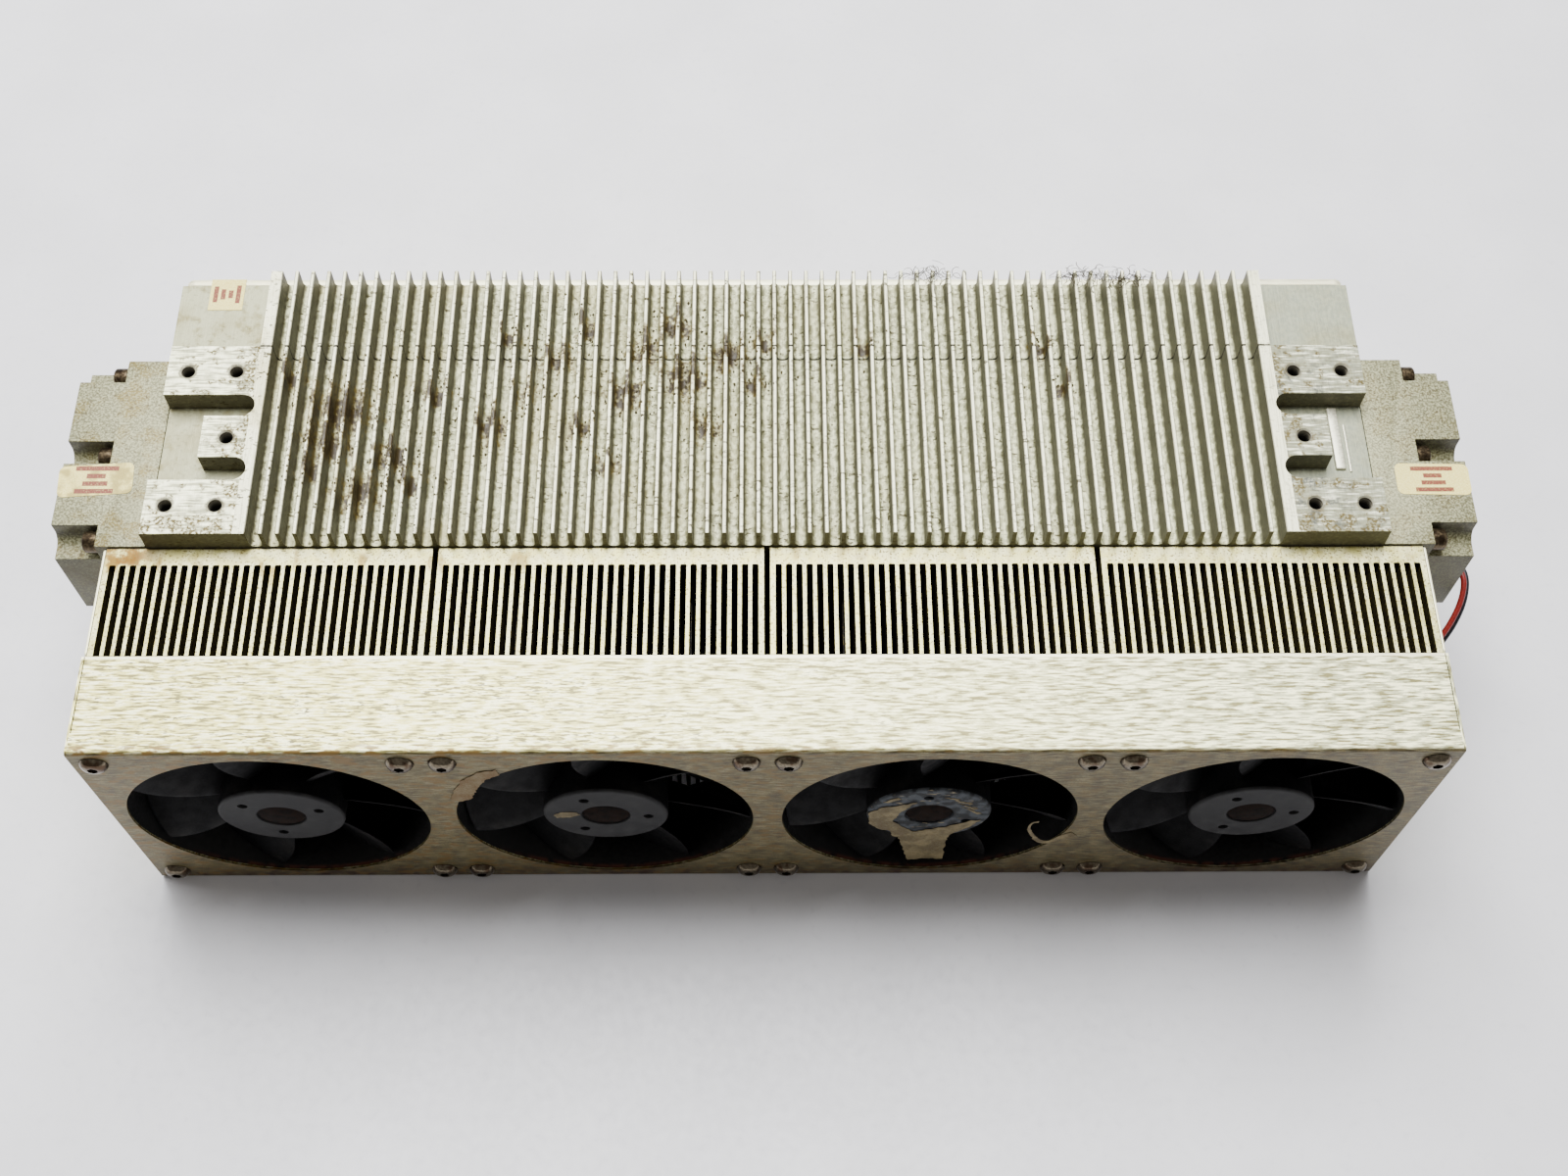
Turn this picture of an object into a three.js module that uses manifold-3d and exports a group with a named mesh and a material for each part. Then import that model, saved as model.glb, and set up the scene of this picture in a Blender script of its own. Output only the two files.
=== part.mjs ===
// Forced-air heat sink assembly: four axial fans in a sheet-metal shroud blow through four
// finned heat sinks, which are bolted to a finned cold plate with an end cap at each end.
// Units are millimetres. +X runs along the row of fans, +Y from the fans to the rear, +Z up.
import * as THREE from 'three';
import { mergeVertices } from 'three/addons/utils/BufferGeometryUtils.js';
import Module from 'manifold-3d';

// ---- driving dimensions -------------------------------------------------------------
const GAP = 0.3; // air between pieces that touch
const PAST = 1; // how far a cutting tool runs past the face it cuts

const FAN_COUNT = 4;
const FAN_PITCH = 119.4;
const FAN_SIDE = 118.2; // 119 mm fan, less its fitting clearance
const FAN_DEPTH = 32;
const SCREW_OFFSET = 52.4; // half of the 104.8 mm screw square
const AXIS_HEIGHT = 60.5;
const SCREW_HOLE_RADIUS = 2.4;
const MOTOR_BASE_RADIUS = 22;
const STRUT_DEPTH = 3;
const STRUT_WIDTH = 4;
const STRUT_START = 15; // distance from the fan's axis

const SHEET = 0.9;
const SHROUD_WIDTH = 478.8;
const SHROUD_HEIGHT = 121;
const SHROUD_DEPTH = 37.2;
const BEND_RADIUS = 1.6;
const OPENING_RADIUS = 54.4;
const CORNER_RELIEF = 8; // length of the closed corner before the flanges part
const CORNER_SLIT = 0.4;
const OPENING_SEGMENTS = 42;

const SINK_WIDTH = 117.2;
const SINK_HEIGHT = 120.8;
const SINK_FRONT = SHROUD_DEPTH + GAP;
const SINK_REAR = 80.7;
const SINK_BASE = 6.9;
const SLOT_COUNT = 31;
const SLOT_PITCH = 3.7;
const SLOT_WIDTH = 2.35;
const END_PLATE = [238, 238.8]; // inner and outer faces of the end plates

const SLAB_FRONT = SINK_REAR + GAP;
const SLAB_SEAM = 162.6;
const SLAB_REAR = 197.9;
const SLAB_BOTTOM = 76;
const SLAB_FLOOR = 121.7; // bottom of the grooves
const SLAB_TOP = 131; // tops of the fins and pads
const SLAB_HALF_LENGTH = 223.7;
const REAR_SLAB_HALF_LENGTH = 227.1;
const FIN_COUNT = 60;
const FIN_WIDTH = 1.5;
const FIN_PITCH = 6.126;
const FINNED_HALF_LENGTH = 186.1; // inner face of the thick fin at each end
const THICK_FIN = 4.4;
const GROOVE_FILLET = 1.1;
const CHAMBER_Y = [102, 144];
const CHAMBER_Z = [84, 112];

const SLOT_END_X = 194; // centre of the rounded end of each pad slot
const PAD_SLOTS = [[103.5, 113.3], [131.2, 140.6]];
const POCKET_X = 207.3;
const THREAD_RADIUS = 2.6;
const THREAD_DEPTH = 11;
const THREADED_HOLES = [[198, 151], [216, 151], [198, 121.8], [198.2, 92.8], [216.2, 92.8]];

const COVER_THICKNESS = 2.9;
const COVER_HALF_LENGTH = 226.6;
const COVER_CORNER = 4;
const COVER_HEIGHT = [2, SLAB_FLOOR - 0.2]; // bottom and top edges

const CAP_INNER = SLAB_HALF_LENGTH + GAP;
const CAP_FLANGE = 242.4;
const CAP_OUTER = 259.4;
const CAP_STEP = 112.7; // floor of the corner steps and the notch
const CAP_FILLET = 4.8;
const CAP_BLOCK_Y = [90.1, 152.7];
const CAP_NOTCH_Y = [116.5, 126.1];
const CAP_SCREW_Y = [85.5, 121.3, 157.2];
const CAP_SCREW_Z = 117.2;
const CAP_SCREW_HOLE_RADIUS = 2.8;
const CAP_THREAD_DEPTH = 9; // how far the screw holes run into the slab
const CAP_SCREW = { length: 20, shank: 2.3, head: 4, height: 5, socket: 2.1, socketDepth: 2.5 };
const SOCKET_POCKET = { depth: 6, y: [88, 101], z: [79.5, 91.5] }; // in the right cap

const HOUSING_HALF_LENGTH = 222;
const HOUSING_WALL = 3;
const HOUSING_TOP = SLAB_BOTTOM - GAP;
const BOARD = { length: 300, width: 84, thickness: 1.6, height: 14 };
const BOARD_CENTRE_Y = 139;
const RAIL = { endInset: 10, edgeInset: 2, width: 8 };
const TERMINAL = { length: 20, endInset: 4, y: [120, 158], height: 12 };
const BOTTOM_COVER_THICKNESS = 2;

const ROTOR_FRONT = 1.3;
const HUB_RADIUS = 23;
const HUB_DEPTH = 25;
const HUB_WALL = 2;
const HUB_RECESS_RADIUS = 9;
const HUB_RECESS_DEPTH = 1.2;
const HUB_HOLE_CIRCLE = 15.7;
const HUB_HOLE_RADIUS = 1.9;
const HUB_HOLE_DEPTH = 1.5;
const HUB_HOLE_COUNT = 3;
const BLADE_COUNT = 7;
const BLADE_THICKNESS = 1.8;
const BLADE_PHASE = -1.8; // first blade's tip, degrees from the first hub hole
const BLADE_ARCH = 1.6;
const BLADE_REAR_INSET = 1.5; // from the hub's rear rim
// a blade's sections: lead and sweep are angles in degrees, front is the leading edge's Y
const BLADE_STATIONS = [
  { radius: HUB_RADIUS - 1.2, lead: 5, front: 6.6, sweep: 44 },
  { radius: 38, lead: 6, front: 3.6, sweep: 43 },
  { radius: 53.2, lead: 0, front: 2, sweep: 37 },
];
const ROTOR_PHASES = [260.1, 356.3, 94.3, 1.5]; // resting angle of each rotor, degrees
const SHAFT_RADIUS = 2;
const STATOR = { radius: 19.5, neck: 5, tail: 8, step: 3, tailLength: 4, clearance: 0.5 };

const LEAD_RADIUS = 1.1;
const GROMMET = { outer: 240, y: [57, 63], z: [56.5, 67.5] };
const LEAD_RED_ROUTE = [
  [240.4, 60, 64], [243.4, 60, 64.1], [248.4, 61.2, 66], [254, 64.8, 70.5], [259.4, 70.6, 76.8],
  [263.2, 77.6, 82.8], [264.6, 84.4, 86.4], [263.6, 89.8, 87.2], [262.4, 91.6, 87.3], [259.8, 92.2, 87.3],
];
const LEAD_BLACK_ROUTE = [
  [240.4, 60, 60.4], [243.4, 60, 60.5], [249.6, 61.4, 62.2], [256.4, 65.6, 66.6], [262.2, 72, 72.8],
  [266, 79.6, 79], [267.2, 87.4, 82.8], [265.6, 94, 83.7], [263.4, 96.4, 83.8], [259.8, 97, 83.8],
];

// the whole assembly is centred front to back on its outer faces
const SCREW_SEAT = -0.1; // the fan screw heads stand just clear of the shroud
const SCREW_HEAD_HEIGHT = 2.6;
const FAN_SCREW = {
  radius: 5, shoulder: 4.3, flat: 2.6, shank: 1.9, length: 9, socket: 1.85, socketDepth: 1.5,
};
const FRONT_FACE = SCREW_SEAT - SCREW_HEAD_HEIGHT;
const REAR_FACE = SLAB_REAR + GAP + COVER_THICKNESS;
const CENTRE_Y = (FRONT_FACE + REAR_FACE) / 2;

// ---- materials ----------------------------------------------------------------------
const paint = (color, roughness, metalness) =>
  new THREE.MeshStandardMaterial({ color, roughness, metalness });
const MATERIALS = {
  brushed: paint(0xbcb8ab, 0.38, 0.9),
  extruded: paint(0xbdbdb6, 0.6, 0.75),
  sink: paint(0xd0cdbf, 0.55, 0.8),
  cast: paint(0x9d9d98, 0.6, 0.7),
  blackPlastic: paint(0x17181a, 0.55, 0),
  frameMetal: paint(0x1d1e20, 0.6, 0.2),
  winding: paint(0x7a4a2c, 0.5, 0.3),
  steel: paint(0xa8a6a0, 0.3, 1),
  bronze: paint(0x5d4a3a, 0.5, 0.8),
  circuit: paint(0x2d5a3c, 0.5, 0),
  terminal: paint(0x2c6b46, 0.5, 0),
  redWire: paint(0x8c1f18, 0.5, 0),
  blackWire: paint(0x16181f, 0.5, 0),
  rubber: paint(0x202020, 0.8, 0),
};

// ---- solids -------------------------------------------------------------------------
const wasm = await Module();
wasm.setup();

function solid(geometry) {
  const bare = geometry.clone();
  bare.deleteAttribute('normal');
  bare.deleteAttribute('uv');
  const merged = mergeVertices(bare, 1e-4);
  return new wasm.Manifold(new wasm.Mesh({
    numProp: 3,
    vertProperties: new Float32Array(merged.attributes.position.array),
    triVerts: new Uint32Array(merged.index.array),
  }));
}

function toGeometry(manifold) {
  const mesh = manifold.getMesh();
  const geometry = new THREE.BufferGeometry();
  const positions = new Float32Array(mesh.vertProperties);
  geometry.setAttribute('position', new THREE.BufferAttribute(positions, 3));
  geometry.setIndex(new THREE.BufferAttribute(new Uint32Array(mesh.triVerts), 1));
  geometry.computeVertexNormals();
  return geometry;
}

const joined = (solids) => solids.reduce((sum, next) => sum.add(next));
const cut = (base, tools) => tools.reduce((left, tool) => left.subtract(tool), base);

const assembly = new THREE.Group();
assembly.position.y = -CENTRE_Y;

function addPiece(name, shape, material) {
  const geometry = shape.isBufferGeometry ? shape : toGeometry(shape);
  const mesh = new THREE.Mesh(geometry, MATERIALS[material]);
  mesh.name = name;
  assembly.add(mesh);
  return mesh;
}

function block(xs, ys, zs) {
  const size = [xs, ys, zs].map(([low, high]) => high - low);
  const geometry = new THREE.BoxGeometry(...size);
  geometry.translate((xs[0] + xs[1]) / 2, (ys[0] + ys[1]) / 2, (zs[0] + zs[1]) / 2);
  return solid(geometry);
}

// an outline of [u, v] points or a Shape, extruded along one axis between two values
function prismGeometry(outline, axis, [from, to], curveSegments = 4) {
  const shape = outline instanceof THREE.Shape
    ? outline
    : new THREE.Shape(outline.map(([u, v]) => new THREE.Vector2(u, v)));
  const options = { depth: to - from, bevelEnabled: false, curveSegments };
  const geometry = new THREE.ExtrudeGeometry(shape, options);
  geometry.translate(0, 0, from);
  if (axis === 'y') {
    geometry.rotateX(Math.PI / 2); // (u, v, w) to (u, -w, v)
    geometry.translate(0, from + to, 0);
  } else if (axis === 'x') {
    geometry.rotateX(Math.PI / 2);
    geometry.rotateZ(Math.PI / 2); // (u, v, w) to (w, u, v)
  }
  return geometry;
}
const prism = (...args) => solid(prismGeometry(...args));

// a rod between two values of one axis, centred on the other two coordinates
function rod(axis, centre, radius, [from, to], segments) {
  const geometry = new THREE.CylinderGeometry(radius, radius, to - from, segments);
  const middle = (from + to) / 2;
  if (axis === 'x') {
    geometry.rotateZ(Math.PI / 2);
    geometry.translate(middle, centre[0], centre[1]);
  } else if (axis === 'y') {
    geometry.translate(centre[0], middle, centre[1]);
  } else {
    geometry.rotateX(Math.PI / 2);
    geometry.translate(centre[0], centre[1], middle);
  }
  return solid(geometry);
}

// a profile of [radius, y] points, from axis to axis or closed, turned about the Y axis
function turned(profile, segments) {
  const points = profile.map(([radius, y]) => new THREE.Vector2(radius, y));
  return solid(new THREE.LatheGeometry(points, segments));
}

const mirroredSpan = (side, low, high) => (side > 0 ? [low, high] : [-high, -low]);
const fanX = (index) => (index - (FAN_COUNT - 1) / 2) * FAN_PITCH;
const SIDES = [{ side: -1, word: 'left' }, { side: 1, word: 'right' }];
const screwCorners = [[-1, 1], [1, 1], [1, -1], [-1, -1]];

// ---- fan shroud ---------------------------------------------------------------------
// rounded rectangle in the Y-Z plane: the two front edges are bends
function bentSection(inset) {
  const radius = BEND_RADIUS - inset * 0.9;
  const [front, low, high] = [inset, inset, SHROUD_HEIGHT - inset];
  const back = SHROUD_DEPTH + (inset > 0 ? PAST : 0);
  const shape = new THREE.Shape();
  shape.moveTo(back, low);
  shape.lineTo(back, high);
  shape.lineTo(front + radius, high);
  shape.absarc(front + radius, high - radius, radius, Math.PI / 2, Math.PI, false);
  shape.absarc(front + radius, low + radius, radius, Math.PI, 1.5 * Math.PI, false);
  shape.closePath();
  return shape;
}

function fanShroud() {
  const half = SHROUD_WIDTH / 2;
  const outer = prism(bentSection(0), 'x', [-half, half], 2);
  const inner = prism(bentSection(SHEET), 'x', [SHEET - half, half - SHEET], 2);
  const tools = [inner];
  for (const { side } of SIDES) {
    const slit = mirroredSpan(side, half - SHEET - CORNER_SLIT, half - SHEET);
    const length = [CORNER_RELIEF, SHROUD_DEPTH + PAST];
    tools.push(block(slit, length, [-PAST, SHEET + PAST]));
    tools.push(block(slit, length, [SHROUD_HEIGHT - SHEET - PAST, SHROUD_HEIGHT + PAST]));
  }
  for (let fan = 0; fan < FAN_COUNT; fan += 1) {
    const centre = [fanX(fan), AXIS_HEIGHT];
    tools.push(rod('y', centre, OPENING_RADIUS, [-PAST, SHEET + PAST], OPENING_SEGMENTS));
    for (const [across, up] of screwCorners) {
      const hole = [centre[0] + across * SCREW_OFFSET, centre[1] + up * SCREW_OFFSET];
      tools.push(rod('y', hole, SCREW_HOLE_RADIUS, [-PAST, SHEET + PAST], 8));
    }
  }
  return cut(outer, tools);
}

// ---- fans ---------------------------------------------------------------------------
const FRAME_FRONT = SHEET + GAP;
const FRAME_REAR = FRAME_FRONT + FAN_DEPTH;

// each fan piece is built about its own axis and then moved to its fan
function fanFrame() {
  const half = FAN_SIDE / 2;
  const through = [FRAME_FRONT - PAST, FRAME_REAR + PAST];
  const square = block([-half, half], [FRAME_FRONT, FRAME_REAR], [-half, half]);
  const bore = rod('y', [0, 0], OPENING_RADIUS, through, 32);
  const holes = screwCorners.map(([across, up]) =>
    rod('y', [across * SCREW_OFFSET, up * SCREW_OFFSET], SCREW_HOLE_RADIUS, through, 8));
  const strutSpan = [FRAME_REAR - STRUT_DEPTH, FRAME_REAR];
  const strutWidth = [-STRUT_WIDTH / 2, STRUT_WIDTH / 2];
  const struts = [45, 135, 225, 315].map((angle) =>
    block([STRUT_START, OPENING_RADIUS + PAST], strutSpan, strutWidth).rotate([0, angle, 0]));
  const motorBase = rod('y', [0, 0], MOTOR_BASE_RADIUS, strutSpan, 20);
  return joined([cut(square, [bore, ...holes]), motorBase, ...struts]);
}

// bearing tube, wound core and tail in one turned piece round the shaft
function fanStator() {
  const { radius, neck, tail, step, tailLength, clearance } = STATOR;
  const bore = SHAFT_RADIUS + clearance;
  const rear = FRAME_REAR - STRUT_DEPTH - GAP;
  const front = ROTOR_FRONT + 2 * HUB_WALL;
  return turned([
    [bore, front], [neck, front], [neck, front + step], [radius, front + step],
    [radius, rear - tailLength], [tail, rear - tailLength], [tail, rear], [bore, rear],
    [bore, front],
  ], 14);
}

// one blade, lofted through arched chord sections from the hub to the tip
function fanBlade() {
  const chord = [0, 0.5, 1];
  const depthRear = ROTOR_FRONT + HUB_DEPTH - BLADE_REAR_INSET - BLADE_THICKNESS;
  const rings = BLADE_STATIONS.map(({ radius, lead, front, sweep }) => {
    const surface = (along, offset) => {
      const angle = THREE.MathUtils.degToRad(lead - sweep * along);
      const arch = BLADE_ARCH * Math.sin(Math.PI * along);
      const y = front + (depthRear - front) * along - arch + offset;
      return [radius * Math.cos(angle), y, radius * Math.sin(angle)];
    };
    const face = chord.map((along) => surface(along, 0));
    const back = chord.map((along) => surface(along, BLADE_THICKNESS)).reverse();
    return [...face, ...back];
  });
  return solid(loft(rings));
}

// closed skin through rings that all have the same number of points
function loft(rings) {
  const size = rings[0].length;
  const index = [];
  for (let ring = 0; ring + 1 < rings.length; ring += 1) {
    for (let point = 0; point < size; point += 1) {
      const next = (point + 1) % size;
      const [a, b] = [ring * size + point, ring * size + next];
      index.push(a, b, a + size, b, b + size, a + size);
    }
  }
  const last = (rings.length - 1) * size;
  for (let point = 0; point + 1 < size / 2; point += 1) {
    const mirror = size - 1 - point;
    index.push(point, mirror, point + 1, mirror, mirror - 1, point + 1);
    index.push(last + point, last + point + 1, last + mirror);
    index.push(last + mirror, last + point + 1, last + mirror - 1);
  }
  const geometry = new THREE.BufferGeometry();
  geometry.setAttribute('position', new THREE.Float32BufferAttribute(rings.flat(2), 3));
  geometry.setIndex(index);
  return geometry;
}

function fanRotor() {
  const [front, rear] = [ROTOR_FRONT, ROTOR_FRONT + HUB_DEPTH];
  const bore = SHAFT_RADIUS + GAP;
  const recess = front + HUB_RECESS_DEPTH;
  const inside = front + HUB_WALL + 1;
  const cup = turned([
    [bore, recess], [HUB_RECESS_RADIUS, recess], [HUB_RECESS_RADIUS, front],
    [HUB_RADIUS, front], [HUB_RADIUS, rear], [HUB_RADIUS - HUB_WALL, rear],
    [HUB_RADIUS - HUB_WALL, inside], [bore, inside], [bore, recess],
  ], 3 * BLADE_COUNT);
  const holeSpan = [front - PAST, front + HUB_HOLE_DEPTH];
  const holes = Array.from({ length: HUB_HOLE_COUNT }, (_, hole) =>
    rod('y', [HUB_HOLE_CIRCLE, 0], HUB_HOLE_RADIUS, holeSpan, 6)
      .rotate([0, -(360 / HUB_HOLE_COUNT) * hole, 0]));
  const blades = Array.from({ length: BLADE_COUNT }, (_, blade) =>
    fanBlade().rotate([0, -(BLADE_PHASE + (360 / BLADE_COUNT) * blade), 0]));
  return joined([cut(cup, holes), ...blades]);
}

const rotorShaft = () =>
  rod('y', [0, 0], SHAFT_RADIUS, [ROTOR_FRONT + 0.8, FRAME_REAR - STRUT_DEPTH - 1], 10);

// button head with a hex socket, and its shank through the shroud and the fan's flange
function fanScrew() {
  const { shoulder, flat, shank, length, socket, socketDepth } = FAN_SCREW;
  const top = SCREW_SEAT - SCREW_HEAD_HEIGHT;
  const body = turned([
    [0, top], [flat, top], [shoulder, top + 0.9], [FAN_SCREW.radius, SCREW_SEAT],
    [shank, SCREW_SEAT], [shank, length], [0, length],
  ], 10);
  const hexagon = turned([
    [0, top - PAST], [socket, top - PAST], [socket, top + socketDepth], [0, top + socketDepth],
  ], 6);
  return body.subtract(hexagon);
}

function addFans() {
  const shapes = {
    fan_frame: [toGeometry(fanFrame()), 'frameMetal'],
    fan_stator: [toGeometry(fanStator()), 'winding'],
    fan_rotor: [toGeometry(fanRotor()), 'blackPlastic'],
    rotor_shaft: [toGeometry(rotorShaft()), 'steel'],
  };
  const screw = toGeometry(fanScrew());
  for (let fan = 0; fan < FAN_COUNT; fan += 1) {
    for (const [name, [geometry, material]] of Object.entries(shapes)) {
      const mesh = addPiece(`${name}_${fan + 1}`, geometry, material);
      mesh.position.set(fanX(fan), 0, AXIS_HEIGHT);
      if (name === 'fan_rotor') mesh.rotation.y = -THREE.MathUtils.degToRad(ROTOR_PHASES[fan]);
    }
    screwCorners.forEach(([across, up], corner) => {
      const mesh = addPiece(`fan_screw_${fan * screwCorners.length + corner + 1}`, screw, 'steel');
      const x = fanX(fan) + across * SCREW_OFFSET;
      mesh.position.set(x, 0, AXIS_HEIGHT + up * SCREW_OFFSET);
    });
  }
}

// ---- heat sinks and their end plates ------------------------------------------------
// comb outline in the X-Y plane: a base with fins reaching forward to the fans
function heatSink() {
  const half = SINK_WIDTH / 2;
  const root = SINK_REAR - SINK_BASE;
  const outline = [[half, SINK_FRONT], [half, SINK_REAR], [-half, SINK_REAR], [-half, SINK_FRONT]];
  for (let slot = 0; slot < SLOT_COUNT; slot += 1) {
    const left = (slot - (SLOT_COUNT - 1) / 2) * SLOT_PITCH - SLOT_WIDTH / 2;
    outline.push([left, SINK_FRONT], [left, root]);
    outline.push([left + SLOT_WIDTH, root], [left + SLOT_WIDTH, SINK_FRONT]);
  }
  return prismGeometry(outline, 'z', [0, SINK_HEIGHT]);
}

function endPlate(side) {
  return block(mirroredSpan(side, ...END_PLATE), [SINK_FRONT, SINK_REAR], [0, SINK_HEIGHT]);
}

// ---- finned slab --------------------------------------------------------------------
// cross-section in the X-Z plane, with softly filleted grooves between the fins
function finnedOutline(halfLength, shoulder) {
  const outline = [[halfLength, SLAB_BOTTOM], [-halfLength, SLAB_BOTTOM]];
  if (shoulder) {
    const step = FINNED_HALF_LENGTH + THICK_FIN;
    outline.push([-halfLength, SLAB_FLOOR], [-step, SLAB_FLOOR], [-step, SLAB_TOP]);
  } else {
    outline.push([-halfLength, SLAB_TOP]);
  }
  let left = -FINNED_HALF_LENGTH;
  for (let groove = 0; groove <= FIN_COUNT; groove += 1) {
    const lastGroove = groove === FIN_COUNT;
    const finCentre = (groove - (FIN_COUNT - 1) / 2) * FIN_PITCH;
    const right = lastGroove ? FINNED_HALF_LENGTH : finCentre - FIN_WIDTH / 2;
    outline.push([left, SLAB_TOP], [left, SLAB_FLOOR + GROOVE_FILLET]);
    outline.push([left + GROOVE_FILLET, SLAB_FLOOR], [right - GROOVE_FILLET, SLAB_FLOOR]);
    outline.push([right, SLAB_FLOOR + GROOVE_FILLET], [right, SLAB_TOP]);
    left = right + FIN_WIDTH;
  }
  if (shoulder) {
    const step = FINNED_HALF_LENGTH + THICK_FIN;
    outline.push([step, SLAB_TOP], [step, SLAB_FLOOR], [halfLength, SLAB_FLOOR]);
  } else {
    outline.push([halfLength, SLAB_TOP]);
  }
  return outline;
}

// milled slots with a rounded inner end, the pocket they open into, and threaded holes
function padCuts(side) {
  const depth = [SLAB_FLOOR, SLAB_TOP + PAST];
  const beyond = SLAB_HALF_LENGTH + PAST;
  const tools = [
    block(mirroredSpan(side, POCKET_X, beyond), [PAD_SLOTS[0][0], PAD_SLOTS[1][1]], depth),
  ];
  for (const [near, far] of PAD_SLOTS) {
    const radius = (far - near) / 2;
    tools.push(block(mirroredSpan(side, SLOT_END_X, beyond), [near, far], depth));
    tools.push(rod('z', [side * SLOT_END_X, (near + far) / 2], radius, depth, 16));
  }
  for (const [x, y] of THREADED_HOLES) {
    const thread = [SLAB_TOP - THREAD_DEPTH, SLAB_TOP + PAST];
    tools.push(rod('z', [side * x, y], THREAD_RADIUS, thread, 10));
  }
  for (const y of CAP_SCREW_Y) {
    const thread = mirroredSpan(side, SLAB_HALF_LENGTH - CAP_THREAD_DEPTH, beyond);
    tools.push(rod('x', [y, CAP_SCREW_Z], CAP_SCREW_HOLE_RADIUS, thread, 8));
  }
  return tools;
}

function slabFrontExtrusion() {
  const outline = finnedOutline(SLAB_HALF_LENGTH, false);
  const length = [SLAB_FRONT, SLAB_SEAM - GAP / 2];
  const through = SLAB_HALF_LENGTH + PAST;
  const chamber = block([-through, through], CHAMBER_Y, CHAMBER_Z);
  const tools = [chamber, ...padCuts(-1), ...padCuts(1)];
  return cut(prism(outline, 'y', length), tools);
}

const slabRearExtrusion = () =>
  prismGeometry(finnedOutline(REAR_SLAB_HALF_LENGTH, true), 'y', [SLAB_SEAM + GAP / 2, SLAB_REAR]);

function rearCoverPlate() {
  const [half, low, high] = [COVER_HALF_LENGTH, ...COVER_HEIGHT];
  const shape = new THREE.Shape();
  shape.moveTo(-half, low);
  shape.lineTo(half, low);
  shape.absarc(half - COVER_CORNER, high - COVER_CORNER, COVER_CORNER, 0, Math.PI / 2, false);
  shape.absarc(COVER_CORNER - half, high - COVER_CORNER, COVER_CORNER, Math.PI / 2, Math.PI, false);
  shape.closePath();
  return prismGeometry(shape, 'y', [SLAB_REAR + GAP, REAR_FACE]);
}

// ---- end caps -----------------------------------------------------------------------
// outline of the outer block in the Y-Z plane: a step at each end and a notch between
function capOutline() {
  const [low, high, floor, radius] = [SLAB_BOTTOM, SLAB_FLOOR, CAP_STEP, CAP_FILLET];
  const [front, rear] = [SLAB_FRONT, SLAB_SEAM - GAP];
  const [blockFront, blockRear] = CAP_BLOCK_Y;
  const [notchFront, notchRear] = CAP_NOTCH_Y;
  const middle = (notchFront + notchRear) / 2;
  const round = (notchRear - notchFront) / 2;
  const shape = new THREE.Shape();
  shape.moveTo(front, low);
  shape.lineTo(rear, low);
  shape.lineTo(rear, floor);
  shape.absarc(blockRear + radius, floor + radius, radius, 1.5 * Math.PI, Math.PI, true);
  shape.lineTo(blockRear, high);
  shape.lineTo(notchRear, high);
  shape.absarc(middle, floor + round, round, 0, Math.PI, true);
  shape.lineTo(notchFront, high);
  shape.lineTo(blockFront, high);
  shape.absarc(blockFront - radius, floor + radius, radius, 0, -Math.PI / 2, true);
  shape.lineTo(front, floor);
  shape.closePath();
  return shape;
}

function endCap(side) {
  const depth = [SLAB_FRONT, SLAB_SEAM - GAP];
  const height = [SLAB_BOTTOM, SLAB_FLOOR];
  const flange = block(mirroredSpan(side, CAP_INNER, CAP_FLANGE), depth, height);
  const outer = prism(capOutline(), 'x', mirroredSpan(side, CAP_FLANGE - PAST, CAP_OUTER), 5);
  const holeSpan = mirroredSpan(side, CAP_INNER - PAST, CAP_FLANGE + PAST);
  const tools = CAP_SCREW_Y.map((y) =>
    rod('x', [y, CAP_SCREW_Z], CAP_SCREW_HOLE_RADIUS, holeSpan, 8));
  if (side > 0) {
    const { depth: pocketDepth, y, z } = SOCKET_POCKET;
    tools.push(block([CAP_OUTER - pocketDepth, CAP_OUTER + PAST], y, z));
  }
  return cut(joined([flange, outer]), tools);
}

function capScrew() {
  const { length, shank, head, height, socket, socketDepth } = CAP_SCREW;
  const top = GAP + height;
  const body = turned([
    [0, -length], [shank, -length], [shank, GAP], [head, GAP], [head, top], [0, top],
  ], 12);
  const floor = top - socketDepth;
  const hexagon = turned([[0, floor], [socket, floor], [socket, top + PAST], [0, top + PAST]], 6);
  return body.subtract(hexagon);
}

function addEndCaps() {
  const screw = toGeometry(capScrew());
  SIDES.forEach(({ side, word }, end) => {
    addPiece(`${word}_end_cap`, endCap(side), 'cast');
    CAP_SCREW_Y.forEach((y, place) => {
      const mesh = addPiece(`end_cap_screw_${end * CAP_SCREW_Y.length + place + 1}`, screw, 'bronze');
      mesh.rotation.z = -side * (Math.PI / 2);
      mesh.position.set(side * CAP_FLANGE, y, CAP_SCREW_Z);
    });
  });
}

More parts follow.
